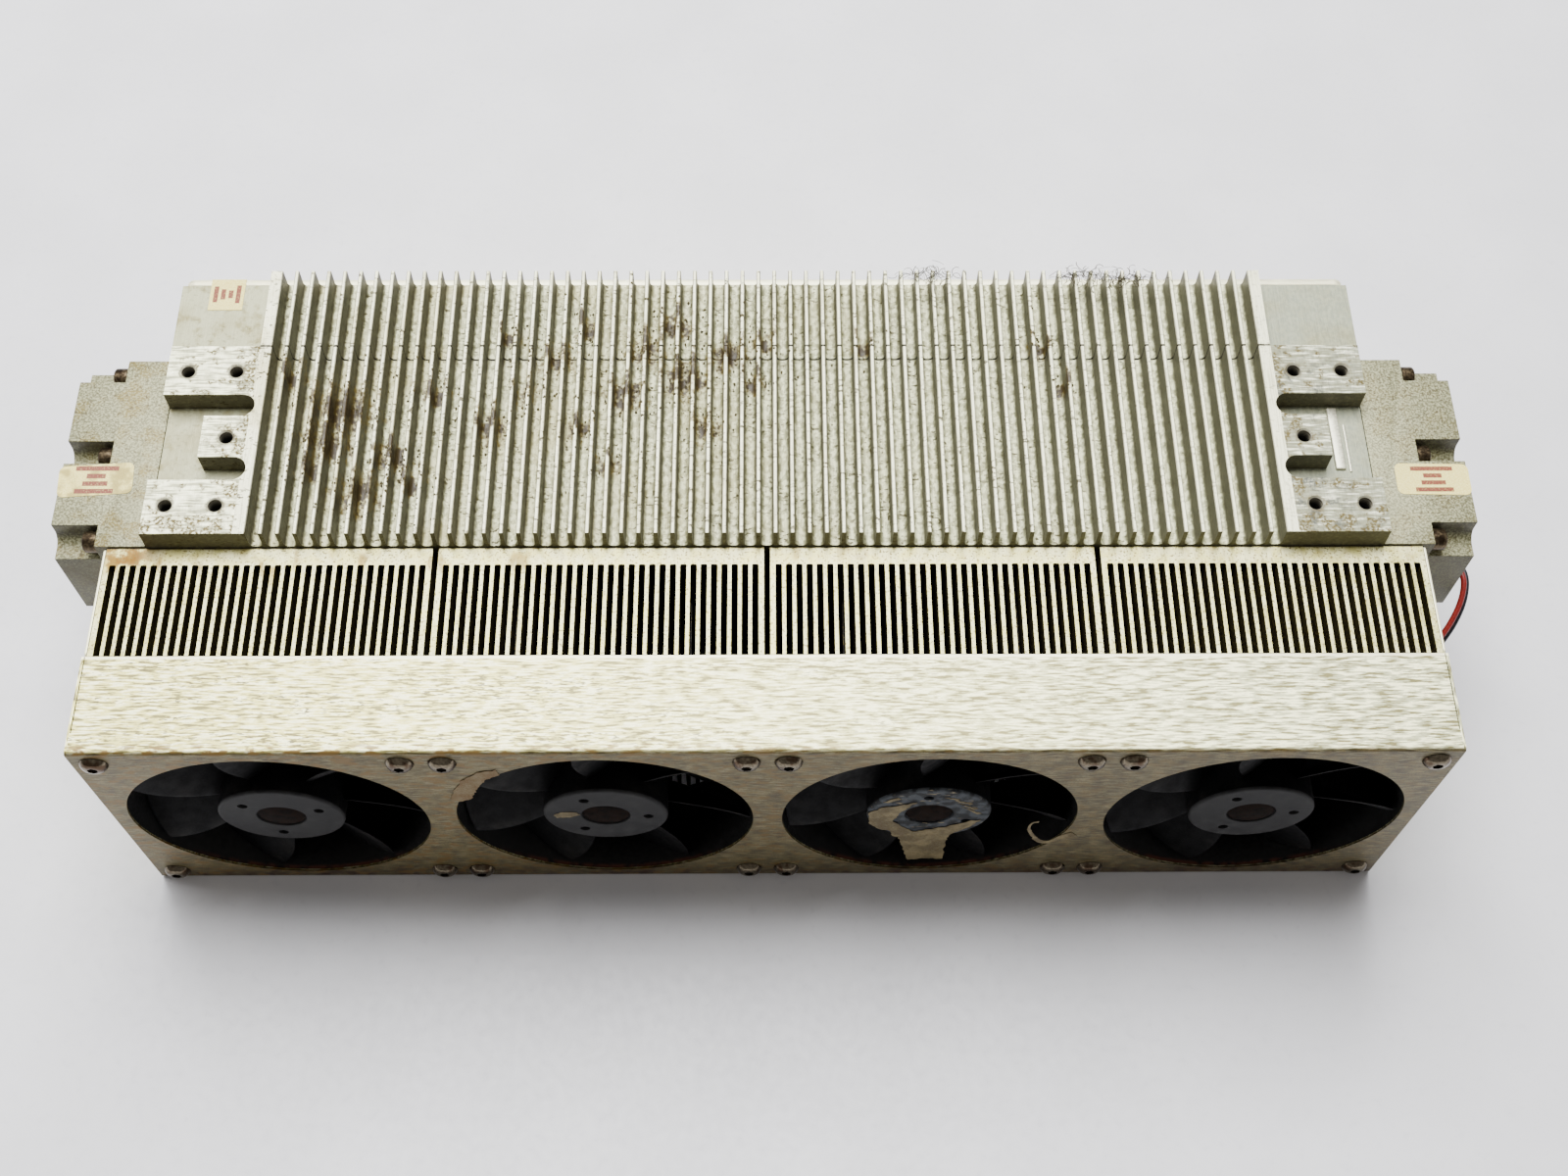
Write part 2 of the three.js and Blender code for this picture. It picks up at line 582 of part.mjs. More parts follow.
// ---- lower housing and what it holds ------------------------------------------------
function addLowerHousing() {
  const half = HOUSING_HALF_LENGTH;
  const inside = half - HOUSING_WALL;
  const [front, rear] = [SLAB_FRONT, SLAB_REAR];
  const walls = block([-half, half], [front, rear], [0, HOUSING_TOP]);
  const hollowY = [front + HOUSING_WALL, rear - HOUSING_WALL];
  const hollow = block([-inside, inside], hollowY, [-PAST, HOUSING_TOP + PAST]);
  addPiece('lower_housing', walls.subtract(hollow), 'cast');
  const coverX = inside - GAP;
  const coverY = [hollowY[0] + GAP, hollowY[1] - GAP];
  const coverZ = [0, BOTTOM_COVER_THICKNESS];
  addPiece('bottom_cover', block([-coverX, coverX], coverY, coverZ), 'brushed');
  const boardX = BOARD.length / 2;
  const boardY = [BOARD_CENTRE_Y - BOARD.width / 2, BOARD_CENTRE_Y + BOARD.width / 2];
  const boardZ = [BOARD.height, BOARD.height + BOARD.thickness];
  addPiece('driver_board', block([-boardX, boardX], boardY, boardZ), 'circuit');
  const railZ = [BOTTOM_COVER_THICKNESS + GAP, BOARD.height - GAP];
  const railX = [RAIL.endInset - boardX, boardX - RAIL.endInset];
  const frontRail = boardY[0] + RAIL.edgeInset;
  const rearRail = boardY[1] - RAIL.edgeInset;
  addPiece('board_rail_front', block(railX, [frontRail, frontRail + RAIL.width], railZ), 'extruded');
  addPiece('board_rail_rear', block(railX, [rearRail - RAIL.width, rearRail], railZ), 'extruded');
  const terminalEnd = boardX - TERMINAL.endInset;
  const terminalX = [terminalEnd - TERMINAL.length, terminalEnd];
  const terminalZ = [boardZ[1] + GAP, boardZ[1] + TERMINAL.height];
  addPiece('terminal_block', block(terminalX, TERMINAL.y, terminalZ), 'terminal');
}

// ---- leads at the right end ---------------------------------------------------------
function lead(route) {
  const curve = new THREE.CatmullRomCurve3(route.map((point) => new THREE.Vector3(...point)));
  const section = new THREE.Shape();
  section.absarc(0, 0, LEAD_RADIUS, 0, 2 * Math.PI, false);
  return new THREE.ExtrudeGeometry(section, {
    steps: 14, curveSegments: 4, bevelEnabled: false, extrudePath: curve,
  });
}

// rubber sleeve where the leads leave the end plate
const leadGrommet = () => block([END_PLATE[1] + 0.1, GROMMET.outer], GROMMET.y, GROMMET.z);

// the socket fills the right end cap's pocket, flush with the cap
function leadSocket() {
  const inset = ([low, high]) => [low + GAP, high - GAP];
  const { depth, y, z } = SOCKET_POCKET;
  return block([CAP_OUTER - depth + GAP, CAP_OUTER], inset(y), inset(z));
}

function addLeads() {
  addPiece('lead_red', lead(LEAD_RED_ROUTE), 'redWire');
  addPiece('lead_black', lead(LEAD_BLACK_ROUTE), 'blackWire');
  addPiece('lead_grommet', leadGrommet(), 'rubber');
  addPiece('lead_socket', leadSocket(), 'rubber');
}

// ---- assembly -----------------------------------------------------------------------
addPiece('slab_front_extrusion', slabFrontExtrusion(), 'extruded');
addPiece('slab_rear_extrusion', slabRearExtrusion(), 'extruded');
addPiece('rear_cover_plate', rearCoverPlate(), 'brushed');
addEndCaps();
addLowerHousing();
const sink = heatSink();
for (let fan = 0; fan < FAN_COUNT; fan += 1) {
  addPiece(`heat_sink_${fan + 1}`, sink, 'sink').position.x = fanX(fan);
}
addPiece('fan_shroud', fanShroud(), 'brushed');
for (const { side, word } of SIDES) addPiece(`${word}_end_plate`, endPlate(side), 'brushed');
addFans();
addLeads();

export default assembly;
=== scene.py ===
import math
import random

import bmesh
import bpy
import numpy as np
from mathutils import Matrix, Vector


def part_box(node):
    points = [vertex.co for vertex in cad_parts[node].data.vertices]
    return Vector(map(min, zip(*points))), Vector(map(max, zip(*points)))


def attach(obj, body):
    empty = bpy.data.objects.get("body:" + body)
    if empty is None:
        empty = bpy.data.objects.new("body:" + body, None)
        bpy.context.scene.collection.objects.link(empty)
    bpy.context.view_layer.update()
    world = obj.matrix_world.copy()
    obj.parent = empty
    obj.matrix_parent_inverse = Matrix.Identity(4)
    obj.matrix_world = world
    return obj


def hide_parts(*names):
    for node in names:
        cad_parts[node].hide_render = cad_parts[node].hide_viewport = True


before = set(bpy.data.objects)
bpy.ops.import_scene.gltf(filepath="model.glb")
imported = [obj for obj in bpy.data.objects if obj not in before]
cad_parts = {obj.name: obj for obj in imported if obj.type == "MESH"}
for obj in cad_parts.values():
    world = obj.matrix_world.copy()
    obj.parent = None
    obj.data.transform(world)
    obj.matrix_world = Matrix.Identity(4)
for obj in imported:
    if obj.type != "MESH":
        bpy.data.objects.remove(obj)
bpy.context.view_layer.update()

# Lengths are millimetres in the object's own frame: +X right, +Y to the rear with 0 at the shroud's
# front face, +Z up with 0 on the table. TO_SCENE turns them into the frame's metres.
MM = 0.001
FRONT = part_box("fan_shroud")[0].y
TO_SCENE = Matrix.Translation((0, FRONT, 0)) @ Matrix.Scale(MM, 4)
SIDES = ((-1, "left"), (1, "right"))


def span(node):
    """A CAD node's box as three (low, high) pairs in millimetres."""
    low, high = (TO_SCENE.inverted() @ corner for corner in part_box(node))
    return tuple(zip(low, high))


# ---- driving dimensions, the same as the CAD model's
SHROUD = span("fan_shroud")
SHEET = 0.9
BEND_RADIUS = 1.6
OPENING_RADIUS = 54.4
CORNER_RELIEF = 8.0
CORNER_SLIT = 0.4
FAN_BOXES = [span(f"fan_frame_{number}") for number in range(1, 5)]
FAN_X = [sum(box[0]) / 2 for box in FAN_BOXES]
AXIS_HEIGHT = sum(FAN_BOXES[0][2]) / 2
SCREW_OFFSET = 52.4
SCREW_CORNERS = ((-1, 1), (1, 1), (1, -1), (-1, -1))

SINK = span("heat_sink_1")
SINK_HALF = (SINK[0][1] - SINK[0][0]) / 2
SINK_ROOT = SINK[1][1] - 6.9
SLOT_COUNT = 31
SLOT_PITCH = 3.7
SLOT_WIDTH = 2.35
SINK_BORE = {"radius": 4.2, "offset": 31.6, "height": 104.5}

SLAB = span("slab_front_extrusion")
REAR_SLAB = span("slab_rear_extrusion")
SLAB_TOP = SLAB[2][1]
CAPS = {"left": span("left_end_cap"), "right": span("right_end_cap")}
SLAB_FLOOR = CAPS["left"][2][1]
FIN_COUNT = 60
FIN_WIDTH = 1.5
FIN_PITCH = 6.126
FINNED_HALF = 186.1
THICK_FIN = 4.4
SLOT_END_X = 194.0
PAD_SLOTS = ((103.5, 113.3), (131.2, 140.6))
POCKET_X = 207.3
MILLED_X = 190.6
THREADED_HOLES = ((198, 151), (216, 151), (198, 121.8), (198.2, 92.8), (216.2, 92.8))
THREAD = {"root": 3.0, "crest": 2.5, "pitch": 1.0, "depth": 11.0, "mouth": 3.15}

CAP_FLANGE = 242.4
CAP_STEP = 112.7
CAP_FILLET = 4.8
CAP_BLOCK_Y = (90.1, 152.7)
CAP_NOTCH_Y = (116.5, 126.1)
CAP_SCREW_Y = (85.5, 121.3, 157.2)
CAP_SCREW_Z = 117.2

ROTOR_FRONT = 1.3
HUB = {"radius": 23.0, "depth": 25.0, "wall": 2.0, "recess": 9.0, "hole_circle": 15.7, "hole": 1.9}
HUB_EDGE = 1.2
BLADE_COUNT = 7
BLADE_PHASE = -1.8
BLADE_THICKNESS = 1.8
BLADE_TIP = 53.2
ROTOR_PHASES = (260.1, 356.3, 94.3, 1.5)

# screw heads: (radius, y) profile with the seat at y = 0, then the hex socket's radius and depth
SCREW_HEADS = {
    "fan": (((0, -2.6), (1.9, -2.6), (2.7, -2.5), (3.4, -2.2), (4.0, -1.75), (4.5, -1.15), (4.85, -0.5),
             (5.0, -0.1), (4.9, 0), (0, 0)), 1.95, 1.5),
    "sink": (((0, -3), (3.0, -3), (3.3, -2.7), (3.3, 0), (0, 0)), 1.6, 1.6),
    "cover": (((0, -1.9), (2.3, -1.9), (3.2, -1.5), (3.7, -0.8), (3.8, 0), (0, 0)), 1.5, 1.2),
    "cap": (((0, -5), (3.4, -5), (3.9, -4.5), (4.0, -4.2), (4.0, 0), (0, 0)), 2.2, 2.6),
}
COVER_MARGIN = 9
COVER_COLUMNS = 7

LEAD_RADIUS = 1.1
LEAD_ROUTES = {
    "lead_red": (
        (240.4, 60, 64), (243.4, 60, 64.1), (248.4, 61.2, 66), (254, 64.8, 70.5), (259.4, 70.6, 76.8),
        (263.2, 77.6, 82.8), (264.6, 84.4, 86.4), (263.6, 89.8, 87.2), (262.4, 91.6, 87.3),
        (259.8, 92.2, 87.3),
    ),
    "lead_black": (
        (240.4, 60, 60.4), (243.4, 60, 60.5), (249.6, 61.4, 62.2), (256.4, 65.6, 66.6), (262.2, 72, 72.8),
        (266, 79.6, 79), (267.2, 87.4, 82.8), (265.6, 94, 83.7), (263.4, 96.4, 83.8), (259.8, 97, 83.8),
    ),
}

# centres of the grimy patches on the finned slab: x, y and reach
GRIME_PATCHES = (
    (-158, 137, 15), (-162, 124, 12), (-148, 102, 11), (-79, 162, 8), (-53, 146, 10), (-31, 153, 12),
    (-23, 131, 7), (-35, 178, 8), (-69, 176, 6), (112, 148, 5), (104, 166, 5), (-98, 171, 5),
    (-59, 115, 6), (-178, 153, 7), (-103, 131, 8), (-124, 144, 7), (37, 167, 5), (-1, 169, 6),
    (-138, 118, 9), (-131, 106, 7), (-90, 146, 6), (-46, 166, 9), (-15, 164, 9), (-5, 151, 6),
    (-70, 130, 6), (-168, 112, 7),
)
FLAKES_PER_MM = 9
FLAKE_CORNERS = 5
FLUFF_PATCHES = ((122, 195), (137, 194), (62, 195))
FIBRES_PER_PATCH = 60
FIBRE_STEPS = 7
FIBRE_STEP = 0.8

LABEL = {"length": 27.2, "width": 13.3, "radius": 2.4, "thickness": 0.14, "gap": 0.03}
LABEL_BARS = ((0.83, 0.21), (0.61, 0.37), (0.39, 0.33), (0.17, 0.24))  # middle and inset, as shares

# torn tape in the X-Z plane: outlines, and (x, z, width) stations of the loose curl
TAPE_STRIP = (
    (-114, 80.5), (-111, 90), (-107.5, 98), (-102, 104), (-94.5, 107.5), (-93.5, 103), (-99.5, 98),
    (-103, 90), (-106.5, 81), (-111, 78.5),
)
TAPE_CRESCENT = (
    (54.6, 72.8), (48.6, 70), (41.6, 67.7), (37, 61.7), (38, 52), (41.7, 47.1), (46.3, 44.5),
    (47.2, 39.5), (49.6, 38.2), (51, 30.5), (53, 20), (54.8, 13.4), (59.5, 15.2), (68.1, 14.6),
    (68.1, 20), (68.2, 30.4), (68, 36.9), (70, 41.9), (75.4, 48.1), (79.3, 55.5), (74.9, 54.3),
    (68, 49.4), (61.9, 46.2), (54.8, 43.6), (49.8, 49.5), (46.4, 54.4), (48.3, 60.5), (50, 65),
    (52.2, 69.6),
)
TAPE_SCRAPS = (
    ((64, 77), (70, 75.5), (69, 74)), ((68, 74.5), (75, 71), (74, 69.6)),
    ((70, 71), (77.5, 66), (76, 65)), ((71, 68), (79, 61.5), (77.5, 60.6)),
    ((42, 72.5), (47.5, 77), (48.5, 75.5), (44, 72)),
)
TAPE_CURL = (
    (115.6, 43.9, 4.0), (111.1, 40.2, 3.4), (107, 37.4, 2.6), (103, 40, 1.9), (99.3, 47.7, 1.3),
    (96.9, 56.5, 1.1), (97.6, 61.4, 1.1), (100, 61.4, 1.4),
)
TAPE_SMEAR = ((-79, 61), (-76, 64), (-70, 63.5), (-69, 61.5), (-73, 59), (-78, 58.5))


def placed(name, data):
    """A new object in the scene's collection."""
    made = bpy.data.objects.new(name, data)
    bpy.context.scene.collection.objects.link(made)
    return made


# ---- camera
def make_camera():
    lens = bpy.data.cameras.new("camera")
    lens.sensor_width = 36
    lens.lens = 43.3
    camera = placed("camera", lens)
    pitch, yaw, roll = (math.radians(angle) for angle in (28.49, -1.18, 0.898))
    turn = Matrix.Rotation(yaw, 4, "Z") @ Matrix.Rotation(pitch, 4, "X") @ Matrix.Rotation(roll, 4, "Z")
    camera.matrix_world = Matrix.Translation((-0.0006, -0.3566, 0.7130)) @ turn
    bpy.context.scene.camera = camera


# ---- materials
# sockets of a Mix node that are for colours
COLOUR_A, COLOUR_B, COLOUR_RESULT = 6, 7, 2


def linear_tone(tone):
    """A tone given as 0 to 255 screen values, as linear RGBA."""
    linear = []
    for value in tone:
        share = value / 255
        linear.append(share / 12.92 if share <= 0.04045 else ((share + 0.055) / 1.055) ** 2.4)
    return (*linear, 1.0)


class Surface:
    """A node material whose patterns are laid out in the object's millimetres."""

    def __init__(self, name, **shader_values):
        self.material = bpy.data.materials.new(name)
        self.material.use_nodes = True
        self.tree = self.material.node_tree
        self.shader = self.tree.nodes["Principled BSDF"]
        for word, value in shader_values.items():
            socket = word.replace("_", " ").title().replace("Ior", "IOR")
            self.shader.inputs[socket].default_value = value
        self.coordinates = self.tree.nodes.new("ShaderNodeTexCoord")
        self.place = self.vector(
            "MULTIPLY_ADD", self.coordinates.outputs["Object"], (1 / MM,) * 3, (0, -FRONT / MM, 0))
        self.x, self.y, self.z = self.node("ShaderNodeSeparateXYZ", self.place).outputs

    def node(self, kind, *inputs, **settings):
        made = self.tree.nodes.new(kind)
        for name, value in settings.items():
            setattr(made, name, value)
        for socket, value in zip(made.inputs, inputs):
            self.feed(value, socket)
        return made

    def feed(self, value, socket):
        if isinstance(value, bpy.types.NodeSocket):
            self.tree.links.new(value, socket)
        else:
            socket.default_value = value

    def vector(self, operation, *inputs):
        return self.node("ShaderNodeVectorMath", *inputs, operation=operation).outputs[0]

    def maths(self, operation, *inputs):
        return self.node("ShaderNodeMath", *inputs, operation=operation).outputs[0]

    def aside(self):
        """Distance from the middle of the object towards either end."""
        return self.maths("ABSOLUTE", self.x)

    def distance(self, from_x, x, y):
        """Distance in plan between (from_x, self.y) and the point (x, y)."""
        across = self.maths("SUBTRACT", from_x, float(x))
        along = self.maths("SUBTRACT", self.y, float(y))
        return self.maths("SQRT", self.maths(
            "MULTIPLY_ADD", across, across, self.maths("MULTIPLY", along, along)))

    def upright(self, gentle=0.3, steep=0.75):
        """1 on faces that stand upright and 0 on level ones, by how far the normal rises."""
        rise = self.node("ShaderNodeSeparateXYZ", self.coordinates.outputs["Normal"]).outputs[2]
        return self.level(self.maths("ABSOLUTE", rise), steep, gentle)

    def noise(self, size, stretch=(1, 1, 1), detail=3.0, seed=0.0):
        """Cloudy noise from 0 to 1 with features about size mm across, longer where stretch is more."""
        scale = tuple(1 / (size * factor) for factor in stretch)
        where = self.vector("MULTIPLY_ADD", self.place, scale, (seed, seed * 1.7, seed * 2.3))
        made = self.node("ShaderNodeTexNoise", where)
        made.inputs["Scale"].default_value = 1.0
        made.inputs["Detail"].default_value = detail
        return made.outputs["Fac"]

    def level(self, value, low, high, to_low=0.0, to_high=1.0):
        """A smooth step: to_low where the value is at low or beyond, to_high where it is at high."""
        made = self.node("ShaderNodeMapRange", value, low, high, to_low, to_high)
        made.interpolation_type = "SMOOTHSTEP"
        return made.outputs["Result"]

    def mask(self, given):
        """A mask is a socket or a constant, or the arguments of level() in a tuple."""
        return self.level(*given) if isinstance(given, tuple) else given

    def joined(self, operation, masks):
        result, *others = (self.mask(given) for given in masks)
        for other in others:
            result = self.maths(operation, result, other)
        return result

    def both(self, *masks):
        return self.joined("MULTIPLY", masks)

    def either(self, *masks):
        return self.joined("MAXIMUM", masks)

    def layers(self, share, first, second, *coats):
        """Two tones mixed by share, then each (mask, tone) coat over them. A tone may be a socket."""
        result = first
        for mask, tone in ((share, second), *coats):
            made = self.node("ShaderNodeMix", data_type="RGBA")
            self.feed(self.mask(mask), made.inputs["Factor"])
            for colour, place in ((result, COLOUR_A), (tone, COLOUR_B)):
                self.feed(linear_tone(colour) if isinstance(colour, tuple) else colour, made.inputs[place])
            result = made.outputs[COLOUR_RESULT]
        return result

    def finish(self, colour, roughness, height, depth):
        """Joins the patterns to the shader; height is raised by depth millimetres."""
        bump = self.node("ShaderNodeBump")
        bump.inputs["Distance"].default_value = depth * MM
        self.feed(height, bump.inputs["Height"])
        self.feed(bump.outputs["Normal"], self.shader.inputs["Normal"])
        self.feed(colour, self.shader.inputs["Base Color"])
        self.feed(self.mask(roughness), self.shader.inputs["Roughness"])
        return self.material


def patch_masks(s, patches):
    """How dark the grime is near the patches: a solid core mask and a wider, flecked one."""
    clumps = s.noise(4.6, (1, 1.3, 1), detail=5, seed=4.1)
    flecks = s.noise(1.5, (1, 1.2, 1), detail=6, seed=1.7)
    near = s.either(*((s.distance(s.x, x, y), 0.0, reach * 1.7, 1.0, 0.0) for x, y, reach in patches))
    mixed = s.maths("MULTIPLY_ADD", flecks, 0.5, s.maths("MULTIPLY", clumps, 0.6))
    core = s.level(s.maths("MULTIPLY_ADD", near, 0.42, mixed), 0.84, 0.95)
    fringe = s.level(s.maths("MULTIPLY_ADD", near, 0.34, mixed), 0.70, 0.86)
    return core, fringe


def near_threads(s, reach):
    """1 within reach of a threaded hole's axis, on both ends of the slab."""
    aside = s.aside()
    return s.either(*((s.distance(aside, x, y), reach + 0.4, reach) for x, y in THREADED_HOLES))


def brushed_sheet():
    """The shroud: short brush marks along X, cream at the left and greyer at the right, brown grime and
    painted shade on the front face, and a painted highlight along the rear edge of the top.
    """
    s = Surface("brushed_sheet", metallic=0.4)
    ends = s.level(s.aside(), 238.4, 238.8)

    def brushed(size, length, **settings):
        """Brush marks along X, or along Y on the two ends."""
        marks = [s.noise(size, stretch, **settings) for stretch in ((length, 1, 1), (1, length, 1))]
        return s.level(ends, 0, 1, *marks)

    dashes = brushed(0.8, 8)
    ticks = brushed(0.7, 4.5, detail=4, seed=4)
    bands = s.noise(5, (12, 1, 1), detail=4, seed=2)
    grain = s.noise(0.9, detail=4, seed=13)
    film = s.noise(7, detail=6, seed=7)
    front = s.level(s.y, 1.5, 0.3)
    worn = s.both(
        (ticks, 0.54, 0.6, 0.0, 0.9), (bands, 0.42, 0.6, 0.15, 1.0),
        (s.x, 240, -200, 0.35, 1.0))
    bend = s.both(
        (s.y, 6, 1.2), (s.noise(2.4, (2.2, 1, 1), detail=5, seed=9), 0.5, 0.62),
        (s.x, 160, -140, 0.3, 0.95))
    # front_coat is the front face's colour: brown grime with painted shade, darker than the top because the
    # front faces away from the light
    front_coat = s.layers(
        (film, 0.4, 0.62), (60, 48, 25), (94, 81, 50),
        ((dashes, 0.5, 0.6, 0.0, 0.5), (120, 106, 70)),
        ((grain, 0.53, 0.6, 0.0, 0.75), (46, 35, 17)))
    base = s.layers(
        (s.x, -190, 230), (214, 206, 128), (182, 183, 146),
        ((dashes, 0.5, 0.58), (255, 253, 206)),
        ((dashes, 0.46, 0.38, 0.0, 0.95), (108, 101, 56)),
        (worn, (86, 78, 40)),
        # painted highlight: a near-white line along the rear edge of the top
        ((s.y, 36.0, 36.3, 0.0, 0.8), (250, 246, 210)),
        # front face coats: grime with painted shade, darker still towards the bottom of the front
        (s.both(front, (grain, 0.2, 0.6, 0.97, 0.88)), front_coat),
        (s.both(front, (s.z, 16, 2), (film, 0.4, 0.65)), (58, 36, 18)),
        (bend, (112, 88, 42)))
    return s.finish(base, (dashes, 0.3, 0.7, 0.42, 0.56), dashes, 0.04)


def extruded_metal():
    """The finned slab: matte speckled extrusion, bright milled pads, grime in patches, painted shade on the
    fin walls and in the threaded holes, and a painted highlight on the fin tops.
    """
    s = Surface("extruded_metal", metallic=0.4)
    mottle = s.noise(1.5, (1, 1.6, 1), detail=5)
    drawn = s.noise(0.6, (1, 22, 1), detail=2, seed=5)
    cloud = s.noise(24, detail=4, seed=8)
    cutter = s.noise(0.8, (9, 1, 1), detail=4, seed=12)
    grain = s.noise(1.1, detail=5, seed=33)
    aside, joint = s.aside(), SLAB[1][1]
    ends = s.level(aside, MILLED_X - 0.1, MILLED_X + 0.1)

    yellowed = s.both((cloud, 0.42, 0.66), (s.x, 120, -200, 0.1, 0.5))
    # painted shade: the upright fin walls are darkened, most on the left half and a little less by the
    # thick end fins
    walls = s.both(s.upright(0.5, 0.94), (mottle, 0, 1, 0.96, 0.9))
    wall_shade_tone = s.layers(
        (s.x, -120, 190), (60, 56, 44), (84, 82, 66),
        ((aside, 186, 188, 0.0, 0.8), (88, 84, 68)),
        ((mottle, 0.52, 0.64, 0.0, 0.4), (108, 104, 82)))
    hairs = s.both(
        (s.noise(1.1, (1.8, 1, 1), detail=4, seed=15), 0.57, 0.62),
        (s.noise(10, seed=6), 0.36, 0.6, 0.2, 0.95), (s.x, 90, 190, 1.0, 0.35))

    smooth = s.both(
        ends, (s.upright(), 1.0, 0.0), (mottle, 0, 1, 0.9, 0.8),
        s.either((s.y, joint, joint + 0.3), (s.z, SLAB_FLOOR + 4, SLAB_FLOOR + 2)))
    tanned = s.both(
        (s.noise(5, detail=6, seed=23), 0.5, 0.62, 0.0, 0.7), (s.x, 120, -190, 0.15, 1.0),
        (mottle, 0.4, 0.56, 0.4, 1.0))
    smooth_tone = s.layers(
        (s.x, -200, 200), (158, 158, 128), (132, 137, 120),
        ((cloud, 0.4, 0.65, 0.0, 0.6), (126, 120, 84)),
        (tanned, (104, 93, 40)))
    off_seam = s.maths("ABSOLUTE", s.maths("SUBTRACT", s.y, joint + 0.15))
    seam = s.both((off_seam, 0.75, 0.2), (mottle, 0.3, 0.55, 0.45, 1.0))

    milled = s.both(ends, (s.z, SLAB_TOP - 0.5, SLAB_TOP - 0.3), (s.y, joint + 0.2, joint))
    edges = s.either((s.y, 92, 83), (aside, 201, 191))
    stained = s.maths("ADD", s.noise(5, detail=6, seed=19), s.maths("MULTIPLY", edges, 0.14))
    stains = s.both((stained, 0.55, 0.64), (grain, 0.42, 0.58, 0.25, 1.0))
    smudges = s.both(
        (s.noise(6, detail=5, seed=29), 0.5, 0.6), (s.x, 150, 200, 0.25, 0.85),
        (aside, 214, 200, 0.35, 1.0), (grain, 0.6, 0.44, 0.35, 1.0))
    milled_tone = s.layers(
        (s.x, -190, 190), (240, 241, 204), (150, 152, 130),
        ((cutter, 0.44, 0.62, 0.0, 0.75), (118, 117, 90)),
        ((cutter, 0.46, 0.36, 0.0, 0.6), (255, 255, 226)),
        (stains, (84, 72, 26)),
        (smudges, (58, 61, 58)))

    # painted shade inside the threaded holes: mid grey below the mouth, near black from 1.5 mm down
    bore_shade = s.both(near_threads(s, THREAD["mouth"] - 0.1), (s.z, SLAB_TOP - 0.05, SLAB_TOP - 0.4))
    rims = s.both(
        near_threads(s, THREAD["mouth"] + 0.3), (s.z, SLAB_TOP - 0.2, SLAB_TOP - 0.05),
        (mottle, 0.4, 0.6, 0.2, 0.8))
    core, fringe = patch_masks(s, GRIME_PATCHES)
    unmilled = s.level(milled, 1.0, 0.0)
    base = s.layers(
        (mottle, 0.4, 0.6), (146, 147, 112), (226, 227, 186),
        # painted highlight: the top millimetre of the slab, the fin tops, made paler
        ((s.z, SLAB_TOP - 0.9, SLAB_TOP - 0.1, 0.0, 0.8), (244, 243, 212)),
        ((drawn, 0.5, 0.68, 0, 0.45), (150, 148, 116)),
        (yellowed, (168, 158, 104)),
        # painted shade on the fin walls
        (walls, wall_shade_tone),
        (hairs, (64, 57, 26)),
        (smooth, smooth_tone),
        (seam, (34, 29, 19)),
        (milled, milled_tone),
        # painted shade in the threaded holes
        (bore_shade, (128, 124, 108)),
        (s.both(bore_shade, (s.z, SLAB_TOP - 1.5, SLAB_TOP - 5)), (36, 33, 26)),
        (rims, (120, 112, 86)),
        (s.both(fringe, unmilled, (mottle, 0.2, 0.5, 0.5, 0.9)), (104, 86, 14)),
        (s.both(core, unmilled), (52, 40, 8)))
    s.feed(s.level(fringe, 0.0, 1.0, 0.4, 0.0), s.shader.inputs["Metallic"])
    return s.finish(base, (mottle, 0.3, 0.7, 0.46, 0.64), s.maths("ADD", mottle, drawn), 0.06)


def sink_metal():
    """The heat sinks: cream fins, the slots darkened by brown grime and painted shade, deepest low down, a
    painted shadow line along the rear edge and an orange stain at one corner.
    """
    s = Surface("sink_metal", metallic=0.5)
    rear, top = SINK[1][1], SINK[2][1]
    cloud = s.noise(5, detail=5)
    sawn = s.noise(0.5, (1, 9, 1), seed=3)
    inside = s.level(s.z, top - 0.05, top - 0.5)
    outside = s.level(inside, 1.0, 0.0)
    corner = s.both(outside, (s.x, -212, -228), (s.y, 68, 75), (cloud, 0.36, 0.48))
    drips = s.both(
        (s.noise(6, (1, 2, 1), detail=4, seed=5), 0.54, 0.7), (s.x, 220, -240, 0.25, 0.9),
        outside, (s.y, 60, 76, 0.2, 1.0))
    base = s.layers(
        (cloud, 0.35, 0.7), (190, 184, 116), (236, 233, 180),
        ((sawn, 0.52, 0.74, 0, 0.55), (168, 156, 116)),
        # brown grime with painted shade on every face below the fin tops, and painted shade near black
        # lower in the slots
        (s.both(inside, (cloud, 0.3, 0.6, 0.9, 1.0)), (44, 37, 19)),
        (s.both((s.z, top - 3, top - 14), (cloud, 0.2, 0.6, 0.86, 1.0)), (20, 16, 9)),
        (corner, (112, 78, 0)),
        (drips, (126, 100, 26)),
        # painted shadow: a dark line along the rear edge, in the gap by the slab
        (s.both((s.y, rear - 0.7, rear - 0.1), (cloud, 0.3, 0.6, 0.6, 1.0)), (60, 50, 28)),
        ((s.noise(0.9, detail=4, seed=13), 0.56, 0.63, 0.0, 0.85), (110, 96, 44)))
    return s.finish(base, (cloud, 0.3, 0.7, 0.4, 0.58), sawn, 0.05)


